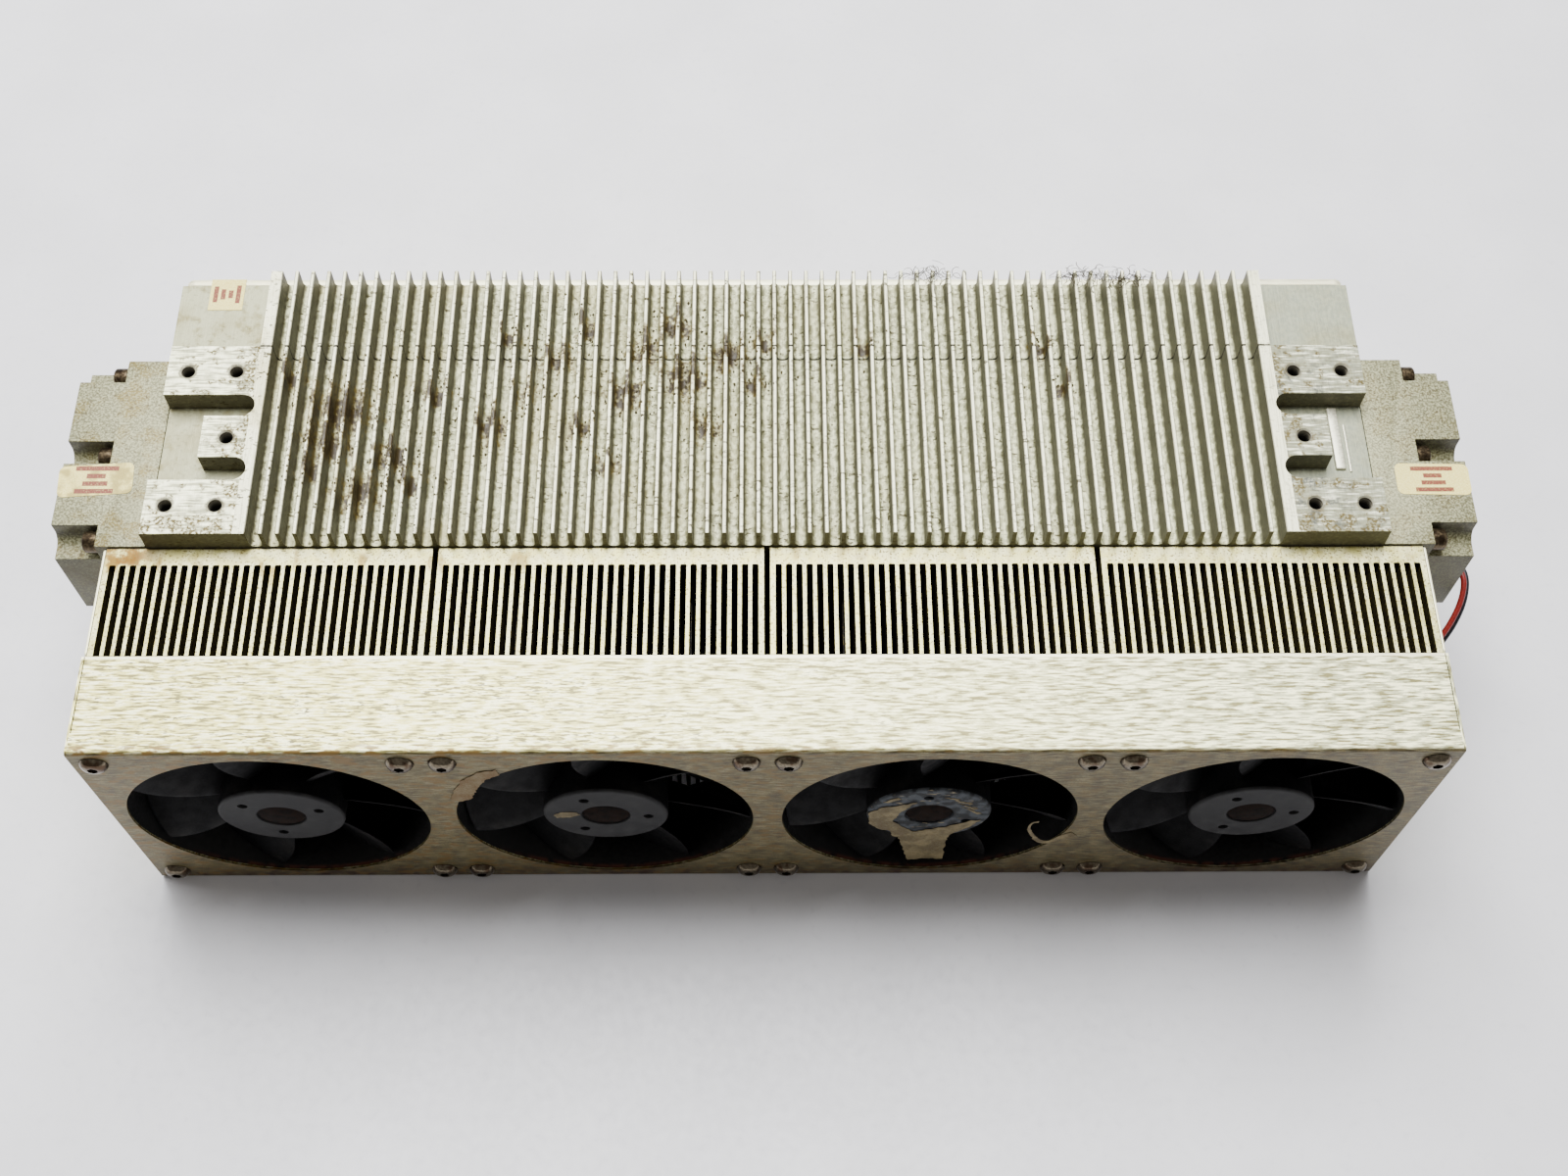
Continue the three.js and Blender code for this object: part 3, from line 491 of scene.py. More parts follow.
def cast_metal(name, *coats):
    """End caps and housings: grey with fine dark specks and tan stains towards the left end, and painted
    shade on upright faces.
    """
    s = Surface(name, metallic=0.35)
    fine = s.noise(0.8, detail=5)
    cloud = s.noise(9, detail=5, seed=2)
    stains = s.both(
        (cloud, 0.46, 0.64), (s.x, 240, -240, 0.35, 0.9), (fine, 0.35, 0.6, 1.0, 0.35))
    pits = s.both(
        (s.noise(1.2, detail=4, seed=6), 0.57, 0.65, 0.0, 0.85), (cloud, 0.3, 0.6, 0.45, 1.0))
    base = s.layers(
        (fine, 0.4, 0.62), (108, 107, 78), (162, 161, 128),
        (stains, (114, 100, 46)),
        (pits, (74, 64, 38)),
        # painted shade: upright faces darker than level ones
        (s.both(s.upright(), (fine, 0.2, 0.7, 0.88, 0.66)), (64, 61, 50)),
        *coats)
    return s.finish(base, (fine, 0.3, 0.7, 0.48, 0.64), fine, 0.05)


def screw_metal(name, tones, rust, roughness):
    s = Surface(name, metallic=0.9)
    fine = s.noise(0.8)
    stain = s.level(s.noise(3.4, detail=4, seed=6), 0.46, 0.62, 0.0, 0.85)
    base = s.layers((fine, 0.35, 0.65), *tones, (stain, rust))
    return s.finish(base, (fine, 0.3, 0.7, roughness, roughness + 0.1), fine, 0.004)


def rotor_plastic(name, worn=False):
    """Black fan plastic, dusty towards the front; a worn hub face has blue-grey patches and scratches."""
    s = Surface(name, specular_ior_level=0.12)
    fine = s.noise(0.7, detail=4)
    if worn:
        cloud = s.noise(4, detail=5, seed=2)
        scratches = s.level(s.noise(0.5, (9, 1, 3), seed=11), 0.62, 0.7)
        face = s.layers((cloud, 0.42, 0.6), (38, 40, 42), (76, 80, 84), (scratches, (132, 122, 98)))
    else:
        cloud = s.noise(5, detail=4, seed=2)
        face = s.layers((cloud, 0.3, 0.75), (38, 38, 39), (58, 58, 58))
    dusty = s.both(
        (s.y, 10, ROTOR_FRONT + 1, 0.0, 0.34), (s.noise(9, detail=5, seed=6), 0.45, 0.7))
    base = s.layers(
        (fine, 0.4, 0.7), (6, 6, 7), (14, 14, 16), (dusty, (50, 47, 43)),
        ((s.y, ROTOR_FRONT + 1.4, ROTOR_FRONT + 1.0), face))
    return s.finish(base, (cloud, 0.3, 0.7, 0.5, 0.7), fine, 0.04)


def frame_black():
    """Fan frames: black painted metal with reddish-brown grime on the lower front of the bore."""
    s = Surface("frame_black")
    fine = s.noise(1.2, detail=4)
    front_coat = s.both((s.z, 30, 8), (s.y, 3.2, 1.4), (s.noise(4, seed=3), 0.3, 0.6))
    base = s.layers((fine, 0.35, 0.7), (9, 9, 9), (20, 19, 18), (front_coat, (96, 52, 34)))
    return s.finish(base, (fine, 0.3, 0.7, 0.4, 0.58), fine, 0.05)


def rubbed(name, tones, size, roughness, metallic=0.0):
    """A plain moulded, wound or painted surface with fine mottling of a given grain size."""
    s = Surface(name, metallic=metallic)
    fine = s.noise(size, detail=4)
    shade = s.level(s.noise(size * 9, seed=3), 0.45, 0.75, 0.0, 0.35)
    base = s.layers((fine, 0.35, 0.65), *tones, (shade, tones[1]))
    return s.finish(base, (fine, 0.3, 0.7, roughness, roughness + 0.12), fine, 0.04)


def winding():
    """Copper turns round the stator, as fine rings along its axis."""
    s = Surface("winding", metallic=0.5)
    turns = s.maths("SINE", s.maths("MULTIPLY", s.y, 7.0))
    base = s.layers((turns, -0.8, 0.6), (66, 32, 18), (168, 98, 52))
    return s.finish(base, (turns, -1, 1, 0.6, 0.4), turns, 0.1)


def circuit_board():
    """Green solder mask with paler tracks."""
    s = Surface("circuit_board")
    across, along = (
        s.maths("SINE", s.maths("MULTIPLY", place, rate)) for place, rate in ((s.y, 1.9), (s.x, 0.35)))
    tracks = s.both((across, 0.75, 0.85), (along, -0.4, -0.2))
    base = s.layers(
        tracks, (28, 70, 44), (58, 112, 66), ((s.noise(3), 0.5, 0.8, 0, 0.4), (24, 52, 36)))
    return s.finish(base, (tracks, 0, 1, 0.42, 0.34), tracks, 0.05)


def label_paper(name, run_axis, stained=False):
    """Cream label with four plain reddish bars, which run along axis 0 or 1 of the label's own box."""
    s = Surface(name)
    local = s.node("ShaderNodeSeparateXYZ", s.coordinates.outputs["Generated"]).outputs
    run, rise = local[run_axis], local[1 - run_axis]
    fibre = s.noise(0.6)
    off_centre = s.maths("ABSOLUTE", s.maths("SUBTRACT", run, 0.5))
    bars = []
    for middle, inset in LABEL_BARS:
        off_line = s.maths("ABSOLUTE", s.maths("SUBTRACT", rise, middle))
        bars.append(s.both((off_line, 0.074, 0.062), (off_centre, 0.5 - inset, 0.49 - inset)))
    stains = [((s.noise(6, seed=5), 0.44, 0.62, 0, 0.7), (140, 122, 42))] if stained else []
    ink = s.both(s.either(*bars), (fibre, 0.25, 0.5, 0.55, 1.0))
    base = s.layers(
        (fibre, 0.35, 0.7), (224, 207, 110), (244, 233, 148), *stains, (ink, (118, 46, 8)))
    return s.finish(base, (fibre, 0.3, 0.7, 0.45, 0.6), fibre, 0.02)


def paper_tape(name, tones):
    s = Surface(name)
    fibre = s.noise(0.6, detail=5)
    cloud = s.noise(5, detail=4, seed=2)
    base = s.layers((cloud, 0.35, 0.7), *tones, ((fibre, 0.55, 0.75, 0, 0.6), (84, 68, 40)))
    return s.finish(base, (fibre, 0.3, 0.7, 0.6, 0.8), fibre, 0.1)


def dust_surface():
    s = Surface("dust_surface")
    fine = s.noise(0.8)
    base = s.layers((fine, 0.35, 0.7), (40, 35, 17), (80, 71, 38))
    return s.finish(base, (fine, 0.3, 0.7, 0.85, 0.98), fine, 0.1)


def table_top():
    s = Surface("table_top")
    cloud = s.noise(60, detail=5)
    wiped = s.noise(4, detail=5, seed=3)
    base = s.layers(
        (cloud, 0.3, 0.75), (214, 214, 218), (222, 222, 226),
        ((wiped, 0.55, 0.8, 0, 0.4), (204, 204, 209)))
    return s.finish(base, (wiped, 0.3, 0.7, 0.5, 0.68), wiped, 0.02)


# ---- mesh building
def arc(centre, radius, start, end, steps):
    """Points along an arc between two angles in degrees, both ends included."""
    angles = [math.radians(start + (end - start) * step / steps) for step in range(steps + 1)]
    return [(centre[0] + radius * math.cos(a), centre[1] + radius * math.sin(a)) for a in angles]


def skin(shape, rings):
    """Faces between each ring of points and the next, and across the first and the last."""
    for first, second in zip(rings, rings[1:]):
        for i in range(len(first)):
            j = (i + 1) % len(first)
            shape.faces.new((first[i], second[i], second[j], first[j]))
    shape.faces.new(rings[0])
    shape.faces.new(rings[-1][::-1])


def prism(outline, axis, low, high):
    """A closed solid: an outline of (u, v) points pushed along an axis from low to high."""
    place = {
        "x": lambda u, v, w: (w, u, v),
        "y": lambda u, v, w: (u, w, v),
        "z": lambda u, v, w: (u, v, w),
    }[axis]
    shape = bmesh.new()
    skin(shape, [[shape.verts.new(place(u, v, w)) for u, v in outline] for w in (low, high)])
    bmesh.ops.recalc_face_normals(shape, faces=shape.faces)
    return shape


def block(xs, ys, zs):
    outline = ((xs[0], ys[0]), (xs[1], ys[0]), (xs[1], ys[1]), (xs[0], ys[1]))
    return prism(outline, "z", *zs)


def rounded_block(xs, ys, zs, radius, axis="z", steps=6):
    """A block whose four edges along one axis are rounded."""
    us, vs, ws = {"x": (ys, zs, xs), "y": (xs, zs, ys), "z": (xs, ys, zs)}[axis]
    corners = ((us[1], vs[1], 0), (us[0], vs[1], 90), (us[0], vs[0], 180), (us[1], vs[0], 270))
    outline = []
    for u, v, start in corners:
        centre = [at - math.copysign(radius, at - sum(ends) / 2) for at, ends in ((u, us), (v, vs))]
        outline += arc(centre, radius, start, start + 90, steps)
    return prism(outline, axis, *ws)


def circle(centre, radius, segments):
    return arc(centre, radius, 0, 360 - 360 / segments, segments - 1)


def rod(axis, centre, radius, low, high, segments):
    return prism(circle(centre, radius, segments), axis, low, high)


def turned(profile, segments):
    """A profile of (radius, y) points, from axis to axis or closed, turned about the Y axis."""
    shape = bmesh.new()
    rings = []
    for radius, y in profile:
        points = circle((0, 0), radius, segments) if radius else [(0, 0)]
        rings.append([shape.verts.new((u, y, v)) for u, v in points])
    closed = len(rings[0]) > 1
    for first, second in zip(rings, rings[1:] + (rings[:1] if closed else [])):
        for i in range(segments):
            j = (i + 1) % segments
            corners = (first, i), (first, j), (second, j), (second, i)
            unique = list(dict.fromkeys(ring[at % len(ring)] for ring, at in corners))
            if len(unique) > 2:
                shape.faces.new(unique)
    bmesh.ops.recalc_face_normals(shape, faces=shape.faces)
    return shape


def moved(shape, offset=(0, 0, 0), turn=0.0, axis="Y"):
    """The shape turned in degrees about an axis through the origin, then shifted."""
    matrix = Matrix.Translation(offset) @ Matrix.Rotation(math.radians(turn), 4, axis)
    bmesh.ops.transform(shape, matrix=matrix, verts=shape.verts)
    return shape


def as_object(shape, name="work"):
    mesh = bpy.data.meshes.new(name)
    shape.to_mesh(mesh)
    shape.free()
    return placed(name, mesh)


def settled(made):
    """The mesh of an object with its modifiers applied; the object itself goes."""
    graph = bpy.context.evaluated_depsgraph_get()
    mesh = bpy.data.meshes.new_from_object(made.evaluated_get(graph))
    shape = bmesh.new()
    shape.from_mesh(mesh)
    source = made.data
    bpy.data.objects.remove(made)
    bpy.data.meshes.remove(source)
    bpy.data.meshes.remove(mesh)
    return shape


def merged(shapes):
    """Several shapes as one, without joining them where they meet."""
    whole = bmesh.new()
    for shape in shapes:
        mesh = bpy.data.meshes.new("work")
        shape.to_mesh(mesh)
        shape.free()
        whole.from_mesh(mesh)
        bpy.data.meshes.remove(mesh)
    return whole


def combined(base, tools, operation="DIFFERENCE"):
    """The base with every tool cut out of it or joined to it."""
    target, work = as_object(base), as_object(merged(tools))
    modifier = target.modifiers.new("combine", "BOOLEAN")
    modifier.operation = operation
    modifier.solver = "EXACT"
    modifier.use_self = True
    modifier.object = work
    result = settled(target)
    bpy.data.objects.remove(work)
    return result


def softened(shape, width, segments=2, angle=40):
    """The shape with its edges sharper than the angle rounded off."""
    target = as_object(shape)
    modifier = target.modifiers.new("soften", "BEVEL")
    modifier.width = width
    modifier.segments = segments
    modifier.limit_method = "ANGLE"
    modifier.angle_limit = math.radians(angle)
    return settled(target)


def add_piece(name, shape, material, body="root", replaces=(), sharp=35):
    """Turns a shape into a finished piece that rides on a body, and hides the CAD parts it replaces."""
    bmesh.ops.transform(shape, matrix=TO_SCENE, verts=shape.verts)
    made = as_object(shape, name)
    made.data.polygons.foreach_set("use_smooth", [True] * len(made.data.polygons))
    made.data.set_sharp_from_angle(angle=math.radians(sharp))
    made.data.materials.append(material)
    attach(made, body)
    if replaces:
        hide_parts(*replaces)


def screw_head(kind, place, turn=0.0, axis="Y"):
    """A screw head with a hex socket that faces -Y before it is turned."""
    profile, socket_radius, socket_depth = SCREW_HEADS[kind]
    top = min(y for _, y in profile)
    socket = prism(arc((0, 0), socket_radius, 30, 330, 5), "y", top - 1, top + socket_depth)
    return moved(combined(turned(profile, 36), [socket]), place, turn, axis)


# ---- leads
def smooth_route(points, steps=8):
    """Catmull-Rom points through a route."""
    route = [Vector(point) for point in points]
    ends = [route[0] * 2 - route[1]] + route + [route[-1] * 2 - route[-2]]
    line = []
    for a, b, c, d in zip(ends, ends[1:], ends[2:], ends[3:]):
        for step in range(steps):
            t = step / steps
            line.append(0.5 * (2 * b + (c - a) * t + (2 * a - 5 * b + 4 * c - d) * t ** 2
                               + (3 * b - a - 3 * c + d) * t ** 3))
    return line + [route[-1]]


def add_leads(materials):
    for name, slot in (("lead_red", "red_insulation"), ("lead_black", "black_insulation")):
        line = [TO_SCENE @ point for point in smooth_route(LEAD_ROUTES[name])]
        curve = bpy.data.curves.new(f"{name}_wire", "CURVE")
        curve.dimensions = "3D"
        curve.bevel_depth = LEAD_RADIUS * MM
        curve.bevel_resolution = 4
        curve.use_fill_caps = True
        spline = curve.splines.new("POLY")
        spline.points.add(len(line) - 1)
        for point, place in zip(spline.points, line):
            point.co = (*place, 1)
        curve.materials.append(materials[name])
        wire = placed(f"{name}_wire", curve)
        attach(wire, "root")
        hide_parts(name)


# ---- shroud
def bent_section(inset, back):
    """The bent sheet in the Y-Z plane: both front edges are rounded."""
    radius = BEND_RADIUS - inset * 0.9
    low, high = inset, SHROUD[2][1] - inset
    upper = arc((inset + radius, high - radius), radius, 90, 180, 8)
    lower = arc((inset + radius, low + radius), radius, 180, 270, 8)
    return [(back, low), (back, high), *upper, *lower]


def shroud_shape():
    half, back = SHROUD[0][1], SHROUD[1][1]
    tools = [prism(bent_section(SHEET, back + 1), "x", SHEET - half, half - SHEET)]
    for x in FAN_X:
        tools.append(rod("y", (x, AXIS_HEIGHT), OPENING_RADIUS, -1, SHEET + 1, 144))
    for side, _ in SIDES:
        slit = sorted((side * (half - SHEET - CORNER_SLIT), side * (half - SHEET + 0.001)))
        for low, high in ((-1, SHEET + 1), (SHROUD[2][1] - SHEET - 1, SHROUD[2][1] + 1)):
            tools.append(block(slit, (CORNER_RELIEF, back + 1), (low, high)))
    return combined(prism(bent_section(0, back), "x", -half, half), tools)


# ---- fans
def frame_shape(box):
    (left, right), (front, rear), _ = box
    centre = ((left + right) / 2, AXIS_HEIGHT)
    half = (right - left) / 2
    square = rounded_block((-half, half), (front, rear), (-half, half), 6, "y")
    flare = turned([(0, front - 1), (OPENING_RADIUS + 0.6, front - 1), (OPENING_RADIUS + 0.6, front + 0.6),
                    (OPENING_RADIUS - 0.2, front + 5), (OPENING_RADIUS - 0.2, rear - 6),
                    (OPENING_RADIUS + 1.8, rear + 1), (0, rear + 1)], 96)
    hollow = combined(square, [flare])
    struts = []
    for quarter in range(4):
        strut = rounded_block((15, OPENING_RADIUS + 1.4), (rear - 3, rear), (-2, 2), 0.8, "x")
        struts.append(moved(strut, turn=45 + 90 * quarter))
    base = turned([(0, rear - 3), (21, rear - 3), (22, rear - 2), (22, rear), (0, rear)], 48)
    whole = combined(hollow, [base, *struts], "UNION")
    return moved(whole, (centre[0], 0, centre[1]))


def blade_shape(angle):
    """One blade, lofted through chord sections whose sweep and depth change with the radius."""
    stations = {"radius": (HUB["radius"] - 1.2, 38, BLADE_TIP), "lead": (5, 6, 0), "front": (6.6, 3.6, 2),
                "sweep": (44, 43, 37)}
    fits = {key: np.polyfit(stations["radius"], values, 2) for key, values in stations.items()}
    rear = ROTOR_FRONT + HUB["depth"] - 1.5 - BLADE_THICKNESS
    radii = np.linspace(stations["radius"][0], BLADE_TIP, 9)
    shares = (1 - np.cos(np.linspace(0, math.pi, 15))) / 2
    shape = bmesh.new()
    rings = []
    for radius in radii:
        lead, front, sweep = (float(np.polyval(fits[key], radius)) for key in ("lead", "front", "sweep"))
        ring = []
        for side, order in ((-1, shares), (1, shares[::-1])):
            for share in order:
                turn = math.radians(angle + lead - sweep * share)
                half = BLADE_THICKNESS / 2 * math.sqrt(max(0.04, 1 - (2 * share - 1) ** 6))
                bow = 1.6 * math.sin(math.pi * share)
                depth = front + (rear - front) * share - bow + BLADE_THICKNESS / 2 + side * half
                ring.append(shape.verts.new((radius * math.cos(turn), depth, radius * math.sin(turn))))
        rings.append(ring)
    skin(shape, rings)
    bmesh.ops.recalc_face_normals(shape, faces=shape.faces)
    return shape


def rotor_shape(phase):
    front, rear, wall = ROTOR_FRONT, ROTOR_FRONT + HUB["depth"], HUB["wall"]
    radius, recess = HUB["radius"], HUB["recess"]
    rim = [(radius - HUB_EDGE + u, front + HUB_EDGE - v) for u, v in arc((0, 0), HUB_EDGE, 90, 0, 5)]
    cup = turned([(2.4, front + 1.2), (recess - 0.2, front + 1.2), (recess, front + 1.0),
                  (recess, front + 0.2), (recess + 0.2, front), *rim, (radius, rear), (radius - wall, rear),
                  (radius - wall, front + wall + 1), (2.4, front + wall + 1)], 84)
    holes = []
    for third in range(3):
        angle = math.radians(phase + 120 * third)
        centre = (HUB["hole_circle"] * math.cos(angle), HUB["hole_circle"] * math.sin(angle))
        holes.append(rod("y", centre, HUB["hole"], front - 1, front + 2.4, 20))
    blades = [blade_shape(phase + BLADE_PHASE + 360 / BLADE_COUNT * blade) for blade in range(BLADE_COUNT)]
    return combined(combined(cup, holes), blades, "UNION")


def add_fans(materials):
    for index, x in enumerate(FAN_X):
        number = index + 1
        hub = (x, 0, AXIS_HEIGHT)
        add_piece(f"fan_{number}_frame", frame_shape(FAN_BOXES[index]), materials["frame_black"],
                  replaces=[f"fan_frame_{number}"])
        rotor = materials["worn_rotor_plastic" if number == 3 else "rotor_plastic"]
        add_piece(f"fan_{number}_rotor", moved(rotor_shape(ROTOR_PHASES[index]), hub), rotor,
                  f"rotor_{number}", [f"fan_rotor_{number}"])
        disc = turned([(0, ROTOR_FRONT + 0.35), (HUB["recess"] - 1.0, ROTOR_FRONT + 0.35),
                       (HUB["recess"] - 0.4, ROTOR_FRONT + 0.7), (0, ROTOR_FRONT + 0.7)], 48)
        add_piece(f"fan_{number}_bearing_cover", moved(disc, hub), materials["rusty_disc"],
                  f"rotor_{number}")
        for corner, (across, up) in enumerate(SCREW_CORNERS):
            screw = index * 4 + corner
            place = (x + across * SCREW_OFFSET, -0.1, AXIS_HEIGHT + up * SCREW_OFFSET)
            add_piece(f"fan_screw_{screw + 1}_head", screw_head("fan", place, 17.0 * screw),
                      materials["steel"], replaces=[f"fan_screw_{screw + 1}"], sharp=30)


# ---- heat sinks
def sink_outline(centre):
    """Comb outline in the X-Y plane, with rounded slot roots."""
    front, rear = SINK[1]
    radius = 0.5
    outline = [(centre + SINK_HALF, front), (centre + SINK_HALF, rear),
               (centre - SINK_HALF, rear), (centre - SINK_HALF, front)]
    for slot in range(SLOT_COUNT):
        left = centre + (slot - (SLOT_COUNT - 1) / 2) * SLOT_PITCH - SLOT_WIDTH / 2
        right = left + SLOT_WIDTH
        outline += [(left, front)]
        outline += arc((left + radius, SINK_ROOT - radius), radius, 180, 90, 4)
        outline += arc((right - radius, SINK_ROOT - radius), radius, 90, 0, 4)
        outline += [(right, front)]
    return outline


def add_sinks(materials):
    seat, height = SINK_ROOT - 0.1, SINK_BORE["height"]
    for number, middle in enumerate(FAN_X, 1):
        bored_x = [middle + side * SINK_BORE["offset"] for side, _ in SIDES]
        bores = [rod("y", (x, height), SINK_BORE["radius"], SINK[1][0] - 1, seat, 40) for x in bored_x]
        fins = combined(prism(sink_outline(middle), "z", 0, SINK[2][1]), bores)
        add_piece(f"heat_sink_{number}_fins", fins, materials["sink"],
                  replaces=[f"heat_sink_{number}"], sharp=30)
        for x, (_, word) in zip(bored_x, SIDES):
            add_piece(f"heat_sink_{number}_{word}_screw", screw_head("sink", (x, seat, height)),
                      materials["steel"])
    for side, word in SIDES:
        (left, right), (front, rear), (low, high) = span(f"{word}_end_plate")
        plate = softened(rounded_block((left, right), (front, rear), (low, high), 1.5, "x"), 0.2)
        add_piece(f"{word}_end_plate_sheet", plate, materials["sheet"],
                  replaces=[f"{word}_end_plate"])


# ---- finned slab
def finned_outline(half, stepped, bottom):
    """Cross-section in the X-Z plane: fins with softened tops and round-bottomed grooves."""
    top, floor, tip, root = SLAB_TOP, SLAB_FLOOR, 0.3, 1.9
    outline = [(half, bottom), (-half, bottom)]
    shoulder = FINNED_HALF + THICK_FIN
    outline += [(-half, floor), (-shoulder, floor), (-shoulder, top)] if stepped else [(-half, top)]
    left = -FINNED_HALF
    for groove in range(FIN_COUNT + 1):
        centre = (groove - (FIN_COUNT - 1) / 2) * FIN_PITCH
        right = FINNED_HALF if groove == FIN_COUNT else centre - FIN_WIDTH / 2
        outline += [(left - tip, top), (left, top - tip)]
        outline += arc((left + root, floor + root), root, 180, 270, 5)
        outline += arc((right - root, floor + root), root, 270, 360, 5)
        outline += [(right, top - tip), (right + tip, top)]
        left = right + FIN_WIDTH
    outline += [(shoulder, top), (shoulder, floor), (half, floor)] if stepped else [(half, top)]
    return outline


def thread_tool(x, y):
    """A cutter for a threaded hole: a row of V grooves under a small countersink."""
    profile = [(0, -THREAD["depth"]), (THREAD["crest"], -THREAD["depth"])]
    turns = int((THREAD["depth"] - 1) / THREAD["pitch"])
    for turn in range(turns):
        depth = -THREAD["depth"] + turn * THREAD["pitch"]
        profile += [(THREAD["root"], depth + THREAD["pitch"] / 2),
                    (THREAD["crest"], depth + THREAD["pitch"])]
    profile += [(THREAD["crest"], -0.45), (THREAD["mouth"], 0), (THREAD["mouth"], 1), (0, 1)]
    return moved(moved(turned(profile, 28), turn=90, axis="X"), (x, y, SLAB_TOP))


def pad_tools(side):
    """Milled slots with a rounded inner end and the pocket behind them."""
    top, beyond = SLAB_TOP + 1, side * (SLAB[0][1] + 1)
    pocket = sorted((side * POCKET_X, beyond))
    tools = [block(pocket, (PAD_SLOTS[0][0], PAD_SLOTS[1][1]), (SLAB_FLOOR, top))]
    for near, far in PAD_SLOTS:
        radius, middle = (far - near) / 2, (near + far) / 2
        outline = arc((side * SLOT_END_X, middle), radius, side * 90, side * 90 + 180, 16)
        outline += [(beyond, middle - side * radius), (beyond, middle + side * radius)]
        tools.append(prism(outline, "z", SLAB_FLOOR, top))
    return tools


def add_slab(materials):
    half = SLAB[0][1]
    front = prism(finned_outline(half, False, SLAB[2][0]), "y", *SLAB[1])
    for side, _ in SIDES:
        for tool in pad_tools(side):
            front = combined(front, [tool])
        front = combined(front, [thread_tool(side * x, y) for x, y in THREADED_HOLES])
    add_piece("finned_slab_front", front, materials["extruded"],
              replaces=["slab_front_extrusion"], sharp=30)
    rear = prism(finned_outline(REAR_SLAB[0][1], True, REAR_SLAB[2][0]), "y", *REAR_SLAB[1])
    add_piece("finned_slab_rear", rear, materials["extruded"],
              replaces=["slab_rear_extrusion"], sharp=30)
    # raised strips left by the cutter in the right pocket
    ridges = []
    for xs, ys, height, round_off in (
        ((210.6, 214.4), (PAD_SLOTS[0][0] + 9, PAD_SLOTS[1][1] - 1), 1.1, 0.88),
        ((215.7, 216.8), (PAD_SLOTS[0][0] + 8, PAD_SLOTS[1][1] - 8), 0.5, 0.4),
    ):
        bar = rounded_block(xs, ys, (SLAB_FLOOR - 0.5, SLAB_FLOOR + height), 0.5)
        ridges.append(softened(bar, round_off, 3))
    add_piece("pocket_ridge", merged(ridges), materials["milled"])


def add_rear_cover(materials):
    (left, right), (front, rear), (low, high) = span("rear_cover_plate")
    plate = softened(rounded_block((left, right), (front, rear), (low, high), 4, "y"), 0.4)
    add_piece("rear_cover_sheet", plate, materials["sheet"],
              replaces=["rear_cover_plate"])
    columns = np.linspace(left + COVER_MARGIN, right - COVER_MARGIN, COVER_COLUMNS)
    places = [(float(x), rear, z) for z in (low + COVER_MARGIN, high - COVER_MARGIN) for x in columns]
    for number, place in enumerate(places, 1):
        add_piece(f"rear_cover_screw_{number}", screw_head("cover", place, 180, "Z"), materials["steel"],
                  sharp=30)


# ---- end caps
def cap_outline(front, rear, low, high):
    """The outer block in the Y-Z plane: a filleted step at each end and a round-bottomed notch."""
    (block_front, block_rear), (notch_front, notch_rear) = CAP_BLOCK_Y, CAP_NOTCH_Y
    middle, half = (notch_front + notch_rear) / 2, (notch_rear - notch_front) / 2
    radius = CAP_FILLET
    return [
        (front, low), (rear, low), (rear, CAP_STEP),
        *arc((block_rear + radius, CAP_STEP + radius), radius, 270, 180, 8),
        (block_rear, high), (notch_rear, high),
        *arc((middle, CAP_STEP + half), half, 0, -180, 14),
        (notch_front, high), (block_front, high),
        *arc((block_front - radius, CAP_STEP + radius), radius, 0, -90, 8),
        (front, CAP_STEP),
    ]


def cap_shape(side, word):
    (left, right), (front, rear), (low, high) = CAPS[word]
    outer, inner = (right, left) if side > 0 else (left, right)
    flange = block(sorted((inner, side * CAP_FLANGE)), (front, rear), (low, high))
    body = prism(cap_outline(front, rear, low, high), "x", *sorted((side * (CAP_FLANGE - 1), outer)))
    shape = combined(flange, [body], "UNION")
    if side > 0:
        lead_pocket = block((outer - 6, outer + 1), (88, 101), (79.5, 91.5))
        shape = combined(shape, [lead_pocket])
    return softened(shape, 0.3, 2, 50)


def add_end_caps(materials):
    for end, (side, word) in enumerate(SIDES):
        add_piece(f"{word}_end_cap_casting", cap_shape(side, word), materials["cast"],
                  replaces=[f"{word}_end_cap"])
        for place, y in enumerate(CAP_SCREW_Y):
            number = end * len(CAP_SCREW_Y) + place + 1
            head = screw_head("cap", (side * (CAP_FLANGE + 0.3), y, CAP_SCREW_Z), 90 * side, "Z")
            add_piece(f"end_cap_screw_{number}_head", head, materials["bronze"],
                      replaces=[f"end_cap_screw_{number}"], sharp=30)


def add_housing(materials):
    """Four walls with two shallow grooves round the outside."""
    (left, right), (front, rear), (low, high) = span("lower_housing")

    def around(margin, zs):
        return block((left - margin, right + margin), (front - margin, rear + margin), zs)

    outer, wall, groove_depth = around(0, (low, high)), 3, 0.5
    tools = [around(-wall, (low - 1, high + 1))]
    for z in (high * 0.3, high * 0.7):
        tools.append(combined(around(1, (z - 0.7, z + 0.7)), [around(-groove_depth, (z - 2, z + 2))]))
    shape = softened(combined(outer, tools), 0.3)
    add_piece("lower_housing_walls", shape, materials["housing"],
              replaces=["lower_housing"])


# ---- labels, tape and dirt
def add_label(name, material, centre, turn):
    half_length, half_width = LABEL["length"] / 2, LABEL["width"] / 2
    shape = rounded_block((-half_length, half_length), (-half_width, half_width), (0, LABEL["thickness"]),
                          LABEL["radius"])
    add_piece(name, moved(shape, centre, turn, "Z"), material)


